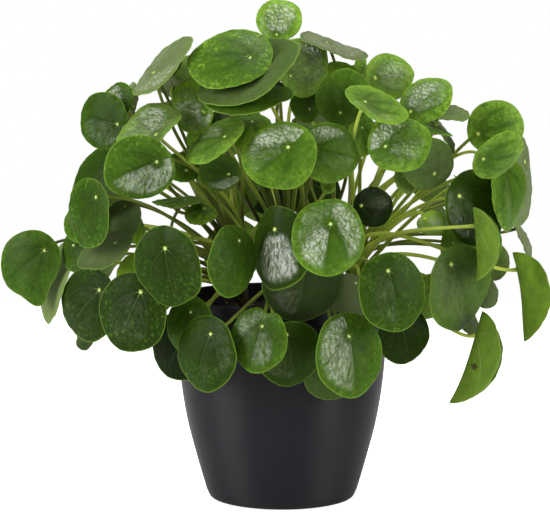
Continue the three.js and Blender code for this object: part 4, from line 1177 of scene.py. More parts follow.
@dataclass
class Blade:
    """A fine blade: a fleshy round leaf with its veins, dimple and rounded margin."""

    leaf: Leaf
    spokes: int = 72
    rings: tuple[float, ...] = (
        0.05, 0.1, 0.17, 0.25, 0.34, 0.43, 0.52, 0.61, 0.7, 0.78, 0.86, 0.92, 0.965, 1.0,
    )
    thickness: float = 1.0
    margin_thickness: float = 0.6
    rim_reach: float = 0.25
    ripple: float = 0.55
    ripples: tuple[int, int] = (13, 5)
    wave: float = 0.6
    waves: Pair = (4.1, 3.3)
    groove: float = 0.3
    groove_width: float = 0.055
    swell: float = 0.45
    dimple: float = 0.3
    dimple_width: float = 0.13
    fades: Pair = (0.1, 0.25)
    tone_spread: float = 0.2

    def relief(self, x: Array, y: Array, out: Array) -> Array:
        """Gives how far the veined blade stands over its smooth form.

        Args:
            x: Places towards the tip from the eye, in half sizes.
            y: Places across, in half sizes.
            out: Parts of the way from the eye to the margin.

        Returns:
            Heights in millimetres.
        """
        far = np.hypot(x, y)
        angle = np.abs(np.arctan2(y, x))
        fade = np.clip((1 - out) / self.fades[1], 0, 1) * np.clip(out / self.fades[0], 0, 1)
        high = np.zeros_like(x)
        for vein in VEINS:
            off = far * np.abs(angle - (vein.start + vein.turn * far)) / self.groove_width
            high -= self.groove * vein.depth * np.exp(-off * off) * fade
        high += self.swell * np.cos(3 * angle - 0.4) * fade * out
        return high - self.dimple * np.exp(-((far / self.dimple_width) ** 2))

    def faces(self, count: int) -> list[tuple[Array, int]]:
        """Gives the faces of the two sides, which meet at the rim.

        Args:
            count: Points on each side.

        Returns:
            Arrays of faces, each with the number of its finish.
        """
        spokes = self.spokes
        here = np.arange(spokes)
        after = (here + 1) % spokes
        ring = count - spokes
        rim = 2 * count
        edge = [here + ring, here + rim, after + rim, after + ring]
        under_edge = [here + rim, here + ring + count, after + ring + count, after + rim]
        top, under = Part.TOP.value, Part.UNDER.value
        return [
            (fan_faces(0, spokes, 1, False), top),
            (ring_faces(len(self.rings), spokes, 1)[:, ::-1], top),
            (np.stack(edge, axis=-1), top),
            (np.stack(under_edge, axis=-1), under),
            (fan_faces(count, spokes, 1 + count, True), under),
            (ring_faces(len(self.rings), spokes, 1 + count), under),
        ]

    def add_to(self, draft: MeshDraft, chance: float) -> None:
        """Adds the blade to a piece.

        Args:
            draft: The piece.
            chance: A number between 0 and 1 that its waves and its tone vary by.
        """
        leaf = self.leaf
        angles = np.arange(self.spokes) * TAU / self.spokes + leaf.tip_turn
        angles = np.arctan2(np.sin(angles), np.cos(angles))
        edge_along, edge_aside = leaf.in_plane(1, angles)
        out = np.concatenate([[0.0], np.repeat(self.rings, self.spokes)])
        x = np.concatenate([[0.0], np.outer(self.rings, edge_along + leaf.eye).ravel()])
        y = np.concatenate([[0.0], np.outer(self.rings, edge_aside).ravel()])
        flat = np.stack([x / leaf.half, y / leaf.half, out], axis=-1)
        relief = self.relief(*flat.T)
        start = TAU * chance
        lengthwise = np.sin(self.waves[0] * x / leaf.half + start)
        relief += self.wave * out * lengthwise * np.cos(self.waves[1] * y / leaf.half + 2 * start)
        crinkle = np.sin(self.ripples[0] * angles + start) * np.cos(self.ripples[1] * angles)
        relief += self.ripple * out**8 * np.concatenate([[0.0], np.tile(crinkle, len(self.rings))])
        thick = self.thickness + (self.margin_thickness - self.thickness) * out**6
        top = leaf.at(x - leaf.eye, y, relief + thick / 2)
        under = leaf.at(x - leaf.eye, y, relief - thick / 2)
        spread = 1 + self.rim_reach / leaf.half
        rim = leaf.at(edge_along * spread, edge_aside * spread, self.ripple * crinkle)
        # A leaf's tone is partly painted light and shade
        tone = LIGHT_AND_SHADE_TONES.get(leaf.name, TONE_USUAL + self.tone_spread * (chance - 0.5))
        draft.add(
            np.concatenate([top, under, rim]),
            self.faces(len(x)),
            (tone, GREYS_AND_SHEEN.get(leaf.name, 0.0), SPECKLES.get(leaf.name, SPECKLE_USUAL)),
            np.concatenate([flat, flat, flat[-self.spokes:]]),
            LOBES.get(leaf.name, (0, 0, 0, 0)),
        )


class Part(Enum):
    """The finishes of a leafy stem, by number."""

    TOP = 0
    UNDER = 1
    PETIOLE = 2
    WOOD = 3


@dataclass
class LeafyStem:
    """One woody stem with its petioles and leaves, as one piece."""

    stem: Stem
    clump: Clump
    petiole_sides: int = 10
    petiole_steps: int = 28
    petiole_foot: float = 2.3
    petiole_tip: float = 1.45
    petiole_flare: float = 0.7
    flare_length: float = 0.03
    girth_least: float = 0.92
    girth_spread: float = 0.2
    pale_least: float = 0.1
    pale_spread: float = 0.6
    paler: float = 0.5
    # How much painted shade darkens a petiole's foot; the right stem's petioles, paler, get less
    shade_usual: float = 0.9
    shade_bright: float = 0.25
    wood_sides: int = 18
    wood_steps: int = 44
    wood_foot: float = 6.3
    wood_top: float = 4.6
    wood_rounding: float = 0.55
    scar: float = 0.35
    scar_spacing: float = 5.2
    sunk: float = 131

    def build(self, finishes: list[bpy.types.Material]) -> bpy.types.Object:
        """Makes the piece.

        Args:
            finishes: Its materials, by number of part.

        Returns:
            The object.
        """
        draft = MeshDraft(self.stem.node.replace("leafy_stem", "grown_stem"))
        self.add_wood(draft)
        for index, run in enumerate(self.clump.petioles):
            if run.leaf.stem is not self.stem:
                continue
            chance = (index * GOLDEN_PART) % 1
            Blade(run.leaf).add_to(draft, chance)
            self.add_petiole(draft, run, chance)
        made = draft.build(finishes)
        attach(made, "root")
        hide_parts(self.stem.node)
        return made

    def add_petiole(self, draft: MeshDraft, run: Petiole, chance: float) -> None:
        """Adds a petiole, a little thicker where it leaves the stem and where it meets the leaf.

        Args:
            draft: The piece.
            run: The petiole's run.
            chance: A number between 0 and 1 that its girth and its colour vary by.
        """
        path = petiole_path(run.leaf, run.foot, run.route, self.petiole_steps)
        part = np.linspace(0, 1, len(path))
        girth = self.girth_least + self.girth_spread * chance
        radii = girth * (self.petiole_foot + (self.petiole_tip - self.petiole_foot) * part**0.6)
        radii += self.petiole_flare * np.exp(-(((1 - part) / self.flare_length) ** 2))
        # The right stem's petioles are drawn paler, with less painted shade at the foot
        bright = self.stem is Stem.RIGHT
        pale = self.pale_least + self.pale_spread * chance + (self.paler if bright else 0)
        shade = self.shade_bright if bright else self.shade_usual
        points = tube(path, radii, self.petiole_sides)
        draft.add_rings(points, self.petiole_sides, (pale, shade, 0), Part.PETIOLE.value)

    def add_wood(self, draft: MeshDraft) -> None:
        """Adds the woody stem with the scars of fallen leaves.

        Args:
            draft: The piece.
        """
        heights = np.linspace(self.sunk, self.stem.value.crown[2], self.wood_steps)
        path = np.array([self.stem.axis(height) for height in heights])
        part = np.linspace(0, 1, len(path))
        rings = np.abs(np.sin(heights * math.pi / self.scar_spacing)) ** 6
        radii = self.wood_foot + (self.wood_top - self.wood_foot) * part + self.scar * (rings - 0.5)
        radii[-1] *= self.wood_rounding
        points = tube(path, radii, self.wood_sides)
        draft.add_rings(points, self.wood_sides, PLAIN, Part.WOOD.value)


def flowing(points: Array, steps: int) -> Array:
    """Gives a smooth curve through points.

    Args:
        points: The points, one a row.
        steps: Steps between each two.

    Returns:
        Points of the curve, one a row.
    """
    padded = np.concatenate([2 * points[:1] - points[1:2], points, 2 * points[-1:] - points[-2:-1]])
    t = (np.arange(steps) / steps)[:, None]
    spans = []
    for a, b, c, d in zip(padded, padded[1:], padded[2:], padded[3:]):
        turn = (2 * a - 5 * b + 4 * c - d) * t**2 + (3 * b - a - 3 * c + d) * t**3
        spans.append((2 * b + (c - a) * t + turn) / 2)
    return np.concatenate([*spans, points[-1:]])


def lathe(profile: Array, sides: int) -> Array:
    """Turns a profile round the pot's axis, closed by a point at each end.

    Args:
        profile: Radius and height, one a row, from the low middle round to the high middle.
        sides: Points round it.

    Returns:
        Its points, the two ends last.
    """
    angles = np.arange(sides) * TAU / sides
    radii, heights = profile[1:-1, 0], profile[1:-1, 1]
    rings = np.stack([
        np.outer(radii, np.cos(angles)),
        np.outer(radii, np.sin(angles)),
        np.repeat(heights[:, None], sides, axis=1),
    ], axis=-1).reshape(-1, 3)
    ends = np.array([[0, 0, profile[0, 1]], [0, 0, profile[-1, 1]]])
    return np.concatenate([rings, ends])


@dataclass
class Pot:
    """The plain tapered pot with a thin rounded rim."""

    sides: int = 160
    steps: int = 7
    foot_steps: int = 4
    rim_steps: int = 4
    rim_round: float = 0.9

    def build(self, finish: bpy.types.Material) -> bpy.types.Object:
        """Makes the pot.

        Args:
            finish: Its material.

        Returns:
            The object.
        """
        low = flowing(POT_OUTLINE[:3], self.foot_steps)[:-1]
        wall = flowing(POT_OUTLINE[2:-1], self.steps)
        bore = flowing(POT_BORE[:-1], self.steps)[::-1]
        turn = np.linspace(0, math.pi / 2, self.rim_steps)
        soft = self.rim_round
        outer, inner = POT_OUTLINE[-2, 0] - soft, POT_BORE[-1, 0] + soft
        level = RIM_HEIGHT - soft
        over = np.stack([outer + soft * np.cos(turn), level + soft * np.sin(turn)], axis=-1)
        back = np.stack([inner - soft * np.sin(turn), level + soft * np.cos(turn)], axis=-1)
        profile = np.concatenate([[[0, 0]], low, wall, over, back, bore, [[0, POT_BORE[0, 1]]]])
        draft = MeshDraft("turned_pot")
        draft.add_rings(lathe(profile, self.sides), self.sides, PLAIN)
        made = draft.build([finish])
        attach(made, "root")
        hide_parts("pot")
        return made


# The corners and faces of a crumb, before it is stretched
CRUMB_CORNERS = np.array([
    (1, 0, 0), (0, 1, 0), (-1, 0, 0), (0, -1, 0), (0, 0, -1), (0, 0, 1),
    (0.62, 0.62, 0.5), (-0.62, 0.62, 0.5), (-0.62, -0.62, 0.5), (0.62, -0.62, 0.5),
])
CRUMB_FACES = np.array([
    (0, 1, 6), (1, 2, 7), (2, 3, 8), (3, 0, 9), (1, 0, 4), (2, 1, 4), (3, 2, 4), (0, 3, 4),
    (0, 6, 9), (1, 7, 6), (2, 8, 7), (3, 9, 8), (6, 7, 5), (7, 8, 5), (8, 9, 5), (9, 6, 5),
])


@dataclass
class Soil:
    """The crumbly potting mix that fills the pot."""

    sides: int = 120
    rings: int = 44
    gap: float = 0.35
    edge_drop: float = 4
    bump: float = 1.6
    crumb: float = 0.7
    crumbs: int = 620
    smallest: float = 0.8
    largest: float = 2.4
    pale_share: float = 0.05
    tone: float = 0.3
    raised: float = 0.3
    seed: int = 4

    def height(self, x: Array, y: Array) -> Array:
        """Gives the level of the soil at places.

        Args:
            x: Places to the right.
            y: Places to the back.

        Returns:
            Heights.
        """
        rolling = np.sin(x * 0.19 + 1.3) * np.cos(y * 0.23) + 0.6 * np.sin(x * 0.41 - y * 0.37)
        fine = np.sin(x * 1.7 + 2 * np.sin(y * 1.1)) * np.cos(y * 1.9 + np.sin(x * 1.3))
        return SOIL_LEVEL + self.bump * rolling + self.crumb * fine

    def build(self, finish: bpy.types.Material) -> bpy.types.Object:
        """Makes the soil with loose crumbs on it.

        Args:
            finish: Its material.

        Returns:
            The object.
        """
        wall = POT_BORE[POT_BORE[:, 1] < SOIL_LEVEL - self.edge_drop] - [self.gap, 0]
        wall[0, 1] += self.gap
        edge = float(radius_at(POT_BORE, SOIL_LEVEL)) - self.gap
        across = np.linspace(edge, edge / self.rings, self.rings)
        top = np.stack([across, np.full(self.rings, SOIL_LEVEL)], axis=-1)
        floor = wall[0, 1]
        below = [[edge, SOIL_LEVEL - self.edge_drop]]
        profile = np.concatenate([[[0, floor]], wall, below, top, [[0, SOIL_LEVEL]]])
        points = lathe(profile, self.sides)
        up = points[:, 2] >= SOIL_LEVEL
        points[up, 2] = self.height(points[up, 0], points[up, 1])
        draft = MeshDraft("potting_mix")
        draft.add_rings(points, self.sides, (self.tone, 0, 0))
        self.add_crumbs(draft, edge)
        made = draft.build([finish])
        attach(made, "root")
        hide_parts("soil")
        return made

    def add_crumbs(self, draft: MeshDraft, edge: float) -> None:
        """Scatters crumbs of peat, bark and a few pale grains.

        Args:
            draft: The piece.
            edge: Radius of the soil's surface.
        """
        draw = np.random.default_rng(self.seed)
        for _ in range(self.crumbs):
            turn = draw.uniform(0, TAU)
            out = (edge - self.largest) * math.sqrt(draw.uniform())
            x, y = out * math.cos(turn), out * math.sin(turn)
            size = draw.uniform(self.smallest, self.largest)
            stretch = size * draw.uniform((0.7, 0.5, 0.4), (1.3, 1.0, 0.8))
            spin = draw.uniform(0, TAU)
            c, s = math.cos(spin), math.sin(spin)
            shape = CRUMB_CORNERS * stretch * draw.uniform(0.75, 1.15, (len(CRUMB_CORNERS), 1))
            shape = shape @ np.array([(c, s, 0), (-s, c, 0), (0, 0, 1)])
            level = float(self.height(np.array(x), np.array(y)))
            pale = 1.0 if draw.uniform() < self.pale_share else 0.0
            tint = (draw.uniform(0.1, 0.9), pale, 0)
            shape += [x, y, level + self.raised * size]
            draft.add(shape, [(CRUMB_FACES, 0)], tint, np.zeros_like(shape))


# For each kind of mix, the input that takes the first value and the output that it comes from
MIX_SOCKETS = {"RGBA": (6, 2), "VECTOR": (4, 1)}


class Wiring:
    """Short calls that add and join the nodes of one tree."""

    def __init__(self, tree: bpy.types.NodeTree) -> None:
        """Keeps the tree."""
        self.tree = tree

    def add(self, kind: str, *values: object, **settings: object) -> bpy.types.Node:
        """Adds a node.

        Args:
            kind: The node's type.
            values: What its first inputs take, in order.
            settings: Its properties.

        Returns:
            The node.
        """
        made = self.tree.nodes.new(kind)
        for name, value in settings.items():
            setattr(made, name, value)
        for socket, value in zip(made.inputs, values):
            self.feed(socket, value)
        return made

    def feed(self, socket: Socket, value: object) -> None:
        """Joins an input to an output, or sets it to a plain value.

        Args:
            socket: The input.
            value: An output, a number, a vector or a colour.
        """
        if isinstance(value, bpy.types.NodeSocket):
            self.tree.links.new(value, socket)
        elif socket.type == "RGBA":
            socket.default_value = (*value[:3], 1)
        else:
            socket.default_value = value

    def math(self, operation: str, *values: object) -> Socket:
        """Works out a number."""
        return self.add("ShaderNodeMath", *values, operation=operation).outputs[0]

    def joined(self, operation: str, *values: object) -> Socket:
        """Works out one number from several, two at a time."""
        return reduce(lambda first, second: self.math(operation, first, second), values)

    def times(self, *values: object) -> Socket:
        """Multiplies numbers."""
        return self.joined("MULTIPLY", *values)

    def most(self, *values: object) -> Socket:
        """Takes the greatest of numbers."""
        return self.joined("MAXIMUM", *values)

    def scaled(self, value: object, factor: object, more: object) -> Socket:
        """Multiplies a number and adds to it."""
        return self.math("MULTIPLY_ADD", value, factor, more)

    def vector(self, operation: str, *values: object) -> bpy.types.Node:
        """Adds a node that works on vectors."""
        return self.add("ShaderNodeVectorMath", *values, operation=operation)

    def ease(self, value: object, low: float, high: float, end: float = 1.0) -> Socket:
        """Eases a number from 0 where it is low to an end value where it is high."""
        made = self.add("ShaderNodeMapRange", value, low, high, 0.0, end, interpolation_type="SMOOTHSTEP")
        return made.outputs[0]

    def mix(self, part: object, first: object, second: object, kind: str = "RGBA") -> Socket:
        """Mixes two colours or two vectors.

        Args:
            part: How much of the second.
            first: A colour, a vector or an output.
            second: A colour, a vector or an output.
            kind: What is mixed, RGBA or VECTOR.

        Returns:
            The mixed colour or vector.
        """
        made = self.add("ShaderNodeMix", part, data_type=kind)
        place, result = MIX_SOCKETS[kind]
        self.feed(made.inputs[place], first)
        self.feed(made.inputs[place + 1], second)
        return made.outputs[result]

    def layers(self, colour: Socket, *over: tuple[object, Colour]) -> Socket:
        """Lays colours over a colour.

        Args:
            colour: The lowest colour.
            over: Each next colour, after how much of it shows.

        Returns:
            The colour.
        """
        for part, laid in over:
            colour = self.mix(part, colour, laid)
        return colour

    def ramp(self, value: object, *stops: tuple[float, Colour]) -> Socket:
        """Turns a number into a colour.

        Args:
            value: The number.
            stops: Places and their colours.

        Returns:
            The colour.
        """
        made = self.add("ShaderNodeValToRGB", value)
        elements = made.color_ramp.elements
        while len(elements) < len(stops):
            elements.new(1.0)
        for element, (place, colour) in zip(elements, stops):
            element.position = place
            element.color = (*colour, 1)
        return made.outputs[0]

    def seen(self) -> Socket:
        """Tells what the camera sees from what only lights the scene."""
        return self.add("ShaderNodeLightPath").outputs["Is Camera Ray"]

    def place(self) -> Socket:
        """Gives each point's place in the plant's own space."""
        return self.add("ShaderNodeTexCoord").outputs["Object"]

    def noise(
        self, scale: object, detail: float = 2.0, rough: float = 0.5, place: Socket | None = None,
    ) -> Socket:
        """Adds noise.

        Args:
            scale: How fine it is, per metre.
            detail: How many finer layers.
            rough: How strong they are.
            place: Where it is read, in the plant's own space if not given.

        Returns:
            Numbers about a half.
        """
        made = self.add("ShaderNodeTexNoise", self.place() if place is None else place)
        for name, value in (("Scale", scale), ("Detail", detail), ("Roughness", rough)):
            self.feed(made.inputs[name], value)
        return made.outputs[0]

    def dots(self, scale: float) -> Socket:
        """Adds soft round dots here and there.

        Args:
            scale: How close they may stand, per metre.

        Returns:
            Numbers up to 1 in the middle of a dot.
        """
        made = self.add("ShaderNodeTexVoronoi", self.place())
        self.feed(made.inputs["Scale"], scale)
        chosen = self.ease(self.parts(made.outputs["Color"])[0], 0.35, 0.7)
        return self.times(self.ease(made.outputs["Distance"], 0.5, 0.1), chosen)

    def away_from(self, spot: Triple, stretch: Triple) -> Socket:
        """Measures how far each point is from a spot in the plant's own space.

        Args:
            spot: The spot, in metres.
            stretch: How much a distance counts along each axis.

        Returns:
            Distances.
        """
        away = self.vector("SUBTRACT", self.place(), spot).outputs[0]
        counted = self.vector("MULTIPLY", away, stretch).outputs[0]
        return self.vector("LENGTH", counted).outputs["Value"]

    def bump(self, height: Socket, strength: float, distance: float, normal: Socket | None = None) -> Socket:
        """Gives a bumpy normal.

        Args:
            height: The bumps.
            strength: How strong they are.
            distance: How high they are, in metres.
            normal: The normal that they stand on, the surface's own if not given.

        Returns:
            The normal.
        """
        made = self.add("ShaderNodeBump", strength, distance)
        self.feed(made.inputs["Height"], height)
        if normal is not None:
            self.feed(made.inputs["Normal"], normal)
        return made.outputs[0]

    def mark(self, name: str) -> bpy.types.Node:
        """Adds a node that reads a mark of the mesh."""
        return self.add("ShaderNodeAttribute", attribute_name=name)

    def parts(self, value: Socket) -> list[Socket]:
        """Splits a vector into its three numbers."""
        return list(self.add("ShaderNodeSeparateXYZ", value).outputs)

    def mark_parts(self, name: str) -> list[Socket]:
        """Reads the three numbers of a mark of the mesh."""
        return self.parts(self.mark(name).outputs["Vector"])


def node_group(
    name: str,
    inputs: dict[str, str],
    outputs: tuple[str, ...],
    wire: Callable[[Wiring, dict[str, Socket]], dict[str, Socket]],
) -> bpy.types.NodeTree:
    """Builds a node group once.

    Args:
        name: Its name.
        inputs: Names and kinds of its inputs.
        outputs: Names of its outputs, which are numbers.
        wire: Adds its nodes, given its inputs by name, and gives its outputs by name.

    Returns:
        The group.
    """
    if name in bpy.data.node_groups:
        return bpy.data.node_groups[name]
    group = bpy.data.node_groups.new(name, "ShaderNodeTree")
    for way, sockets in (("INPUT", inputs), ("OUTPUT", dict.fromkeys(outputs, "Float"))):
        for label, kind in sockets.items():
            group.interface.new_socket(name=label, in_out=way, socket_type=f"NodeSocket{kind}")
    wiring = Wiring(group)
    given = wiring.add("NodeGroupInput")
    taken = wiring.add("NodeGroupOutput")
    made = wire(wiring, {label: given.outputs[label] for label in inputs})
    for label, socket in made.items():
        wiring.feed(taken.inputs[label], socket)
    return group


def mottle_nodes(wiring: Wiring, given: dict[str, Socket]) -> dict[str, Socket]:
    """Wires soft uneven patches about a value of one."""
    off = wiring.math("SUBTRACT", wiring.noise(given["Scale"], 3.0, 0.6), 0.5)
    return {"Value": wiring.scaled(off, given["Amount"], 1.0)}


def mottle(wiring: Wiring, scale: float, amount: float) -> Socket:
    """Places the shared mottle in a material, at its scale per metre and by its amount."""
    group = node_group("mottle", {"Scale": "Float", "Amount": "Float"}, ("Value",), mottle_nodes)
    return wiring.add("ShaderNodeGroup", scale, amount, node_tree=group).outputs["Value"]


BLADE_MARKS = ("Lines", "Sheen", "Eye", "Rim", "Halo", "Streak")

# From where to where the pattern's marks ease in: parts of the way out to the rim
LINE_FADE = (0.95, 0.55)
VEIN_SHADE_FADE = (1.0, 0.5)
SHEEN_FADE = (1.0, 0.78)
RIM_EDGE = (0.975, 1.0)

# And the same as distances from the eye or from a vein, in half sizes, or as radians
SHEEN_START = (0.02, 0.3)
EYE_EDGE = (0.06, 0.03)
STAR_EDGE = (0.2, 0.05)
VEIN_SHADE_EDGE = (0.15, 0.01)
LOBE_EDGE = (-0.24, 0.12)
MIDRIB_EDGE = (-0.07, 0.07)
STAR_PART = 0.15


def vein_nodes(wiring: Wiring, given: dict[str, Socket]) -> dict[str, Socket]:
    """Wires a blade's veins, the painted shade beside them, glossy lobes, eye and rim from its places.

    Args:
        wiring: The group's wiring.
        given: Its inputs.

    Returns:
        Its outputs.
    """
    x, y, out = wiring.parts(given["Place"])
    far = wiring.math("SQRT", wiring.math("ADD", wiring.times(x, x), wiring.times(y, y)))
    turn = wiring.math("ARCTAN2", y, x)
    angle = wiring.math("ABSOLUTE", turn)
    pasts: list[Socket] = []
    for vein in VEINS:
        path = wiring.scaled(far, vein.turn, vein.start)
        pasts.append(wiring.times(far, wiring.math("SUBTRACT", path, angle)))
    asides = [wiring.math("ABSOLUTE", past) for past in pasts]
    lines = (
        wiring.ease(aside, vein.width * 2, vein.width * 0.4, vein.strength)
        for vein, aside in zip(VEINS, asides)
    )
    # Painted shade beside the midrib and the side veins, where the blade dips into their grooves
    vein_shades = (wiring.ease(aside, *VEIN_SHADE_EDGE, vein.strength) for vein, aside in zip(VEINS[:2], asides))
    within = wiring.ease(pasts[1], *LOBE_EDGE)
    line = wiring.times(wiring.most(*lines), wiring.ease(out, *LINE_FADE))
    vein_shade = wiring.times(wiring.most(*vein_shades), wiring.ease(out, *VEIN_SHADE_FADE))
    spun = wiring.add(
        "ShaderNodeCombineXYZ", wiring.times(turn, 5.0), wiring.times(far, 1.6), wiring.noise(9, 0.0),
    )
    right = wiring.ease(turn, *MIDRIB_EDGE)
    left = wiring.math("SUBTRACT", 1.0, right)
    lobes = [*wiring.parts(given["Lobes"]), given["Last Lobe"]]
    inner, outer = (
        wiring.scaled(plus, right, wiring.times(minus, left))
        for minus, plus in ((lobes[1], lobes[2]), (lobes[0], lobes[3]))
    )
    outer = wiring.times(outer, wiring.math("SUBTRACT", 1.0, within))
    sheen = wiring.scaled(inner, within, outer)
    shore = wiring.times(wiring.ease(out, *SHEEN_FADE), wiring.ease(far, *SHEEN_START))
    star = wiring.times(line, wiring.ease(far, *STAR_EDGE, STAR_PART))
    return {
        "Lines": line,
        "Sheen": wiring.times(sheen, shore),
        "Eye": wiring.most(wiring.ease(far, *EYE_EDGE), star),
        "Rim": wiring.ease(out, *RIM_EDGE),
        "Halo": vein_shade,
        "Streak": wiring.noise(2.6, 3.0, 0.6, spun.outputs[0]),
    }


def blade_marks(wiring: Wiring) -> dict[str, Socket]:
    """Places the shared vein pattern in a material.

    Args:
        wiring: The material's wiring.

    Returns:
        The pattern's outputs by name, with how far out each point is.
    """
    kinds = {"Place": "Vector", "Lobes": "Vector", "Last Lobe": "Float"}
    group = node_group("leaf veins", kinds, BLADE_MARKS, vein_nodes)
    place = wiring.mark("place").outputs["Vector"]
    lobes = wiring.mark("lobes").outputs
    made = wiring.add("ShaderNodeGroup", place, lobes["Vector"], lobes["Alpha"], node_tree=group)
    found = {name: made.outputs[name] for name in BLADE_MARKS}
    found["Out"] = wiring.parts(place)[2]
    return found


@dataclass(frozen=True)
class Finish:
    """A named surface, with how rough and how glossy it usually is.

    In its kinds, uneven is the scale and the amount of the mottle, and bumps and crinkles are a
    strength and a height in metres.
    """

    name: str
    roughness: float
    gloss: float = 0.5

    def begin(self) -> tuple[bpy.types.Material, Wiring, bpy.types.NodeInputs]:
        """Starts the material.

        Returns:
            The material, its wiring and the inputs of its shader.
        """
        made = bpy.data.materials.new(self.name)
        made.use_nodes = True
        inputs = made.node_tree.nodes["Principled BSDF"].inputs
        inputs["Roughness"].default_value = self.roughness
        inputs["Specular IOR Level"].default_value = self.gloss
        return made, Wiring(made.node_tree), inputs


@dataclass(frozen=True)
class LeafTopFinish(Finish):
    """Satin upper face: green with pale speckles, a pale eye and rim, and lobes that shine with wax and with
    painted sheen.
    """

    name: str = "leaf_top"
    roughness: float = 0.38
    gloss: float = 0.06
    # The greens that a leaf's tone picks from; the deep end is painted deep shade
    deep: Colour = (0.006, 0.0135, 0.0008)
    dark: Colour = (0.029, 0.069, 0.004)
    middle: Colour = (0.073, 0.155, 0.013)
    young: Colour = (0.22, 0.4, 0.035)
    # Grey-green laid by how grey a leaf is: partly its own colour, partly painted sheen
    grey: Colour = (0.13, 0.165, 0.07)
    vein: Colour = (0.1, 0.2, 0.03)
    # Pale sheen painted on the shining lobes, as well as their wax
    sheen: Colour = (0.23, 0.285, 0.11)
    rim: Colour = (0.22, 0.4, 0.04)
    eye: Colour = (0.62, 0.8, 0.25)
    wax_roughness: float = 0.34
    wax_index: float = 1.85
    turned: Triple = (-0.48, -0.81, 0.33)
    turn_part: float = 0.85
    vein_part: float = 0.15
    painted_sheen_part: float = 0.32
    rim_part: float = 0.5
    speckle_part: float = 0.34
    speckle_scale: float = 190
    grain_scale: float = 260
    patch_scale: float = 70
    patch_limits: Pair = (0.66, 1.28)
    uneven: Pair = (70, 0.65)
    bumps: Pair = (0.4, 0.0008)
    crinkles: Pair = (1.0, 0.00072)

    def material(self) -> bpy.types.Material:
        """Builds the material."""
        made, wiring, inputs = self.begin()
        marks = blade_marks(wiring)
        tone, grey, speckled = wiring.mark_parts("tint")
        patch = self.patch(wiring, marks)
        light = self.light(wiring, marks, tone)
        colour = wiring.ramp(
            wiring.scaled(self.speckles(wiring, marks, speckled), self.speckle_part, light),
            (0.0, self.deep), (0.3, self.dark), (0.6, self.middle), (1.0, self.young),
        )
        # Over the green: grey, partly painted sheen, the veins, the painted pale sheen of the shining lobes,
        # the rim and the eye
        colour = wiring.layers(
            colour,
            (grey, self.grey),
            (wiring.times(marks["Lines"], self.vein_part), self.vein),
            (wiring.times(patch, self.painted_sheen_part), self.sheen),
            (wiring.times(marks["Rim"], self.rim_part), self.rim),
            (marks["Eye"], self.eye),
        )
        wiring.feed(inputs["Base Color"], colour)
        wiring.feed(inputs["Roughness"], wiring.scaled(grey, 0.2, self.roughness))
        height = wiring.scaled(wiring.noise(520), 0.5, wiring.noise(160))
        wiring.feed(inputs["Normal"], wiring.bump(height, *self.bumps))
        self.add_wax(wiring, inputs, patch)
        return made

    def light(self, wiring: Wiring, marks: dict[str, Socket], tone: Socket) -> Socket:
        """Gives how light the green is.

        Args:
            wiring: The material's wiring.
            marks: The pattern of the veins.
            tone: How light the leaf is.

        Returns:
            The lightness.
        """
        outer = wiring.scaled(wiring.times(marks["Out"], marks["Out"]), 0.4, 0.84)
        grain = wiring.math("ADD", wiring.noise(self.grain_scale, 3.0, 0.7), 0.55)
        # Painted shade darkens the green beside the veins
        painted_vein_shade = wiring.scaled(marks["Halo"], -0.3, 1.05)
        return wiring.times(tone, mottle(wiring, *self.uneven), outer, grain, painted_vein_shade)

    def speckles(self, wiring: Wiring, marks: dict[str, Socket], speckled: Socket) -> Socket:
        """Gives the pale dots, which are strongest towards the rim.

        Args:
            wiring: The material's wiring.
            marks: The pattern of the veins.
            speckled: How speckled the leaf is.

        Returns:
            Numbers up to 1 in the middle of a dot.
        """
        band = wiring.times(wiring.ease(marks["Out"], 0.1, 0.8), speckled)
        fine = wiring.ease(wiring.noise(330, 1.0), 0.5, 0.72, 0.7)
        spots = wiring.most(wiring.dots(self.speckle_scale), fine)
        return wiring.times(spots, band, wiring.ease(wiring.noise(45), 0.3, 0.6))

    def patch(self, wiring: Wiring, marks: dict[str, Socket]) -> Socket:
        """Gives the broken patches that shine on the lobes.

        Args:
            wiring: The material's wiring.
            marks: The pattern of the veins.

        Returns:
            How strongly each point shines.
        """
        blotched = wiring.noise(self.patch_scale, 4.0, 0.7)
        broken = wiring.scaled(blotched, 0.5, wiring.times(marks["Streak"], 0.5))
        level = wiring.scaled(marks["Sheen"], 0.9, broken)
        streaked = wiring.ease(marks["Streak"], 0.25, 0.6, 1.15)
        return wiring.times(wiring.ease(level, *self.patch_limits), marks["Sheen"], streaked)

    def add_wax(self, wiring: Wiring, inputs: bpy.types.NodeInputs, patch: Socket) -> None:
        """Lays crinkled wax on the patches, with its normals turned to one side.

        Args:
            wiring: The material's wiring.
            inputs: The shader's inputs.
            patch: How strongly each point shines.
        """
        inputs["Coat Roughness"].default_value = self.wax_roughness
        inputs["Coat IOR"].default_value = self.wax_index
        wiring.feed(inputs["Coat Weight"], patch)
        smooth = wiring.add("ShaderNodeNewGeometry").outputs["Normal"]
        bent = wiring.mix(self.turn_part, smooth, self.turned, "VECTOR")
        bent = wiring.vector("NORMALIZE", bent).outputs[0]
        crinkled = wiring.scaled(wiring.noise(90), 2.4, wiring.noise(330, 0.0))
        wiring.feed(inputs["Coat Normal"], wiring.bump(crinkled, *self.crinkles, bent))


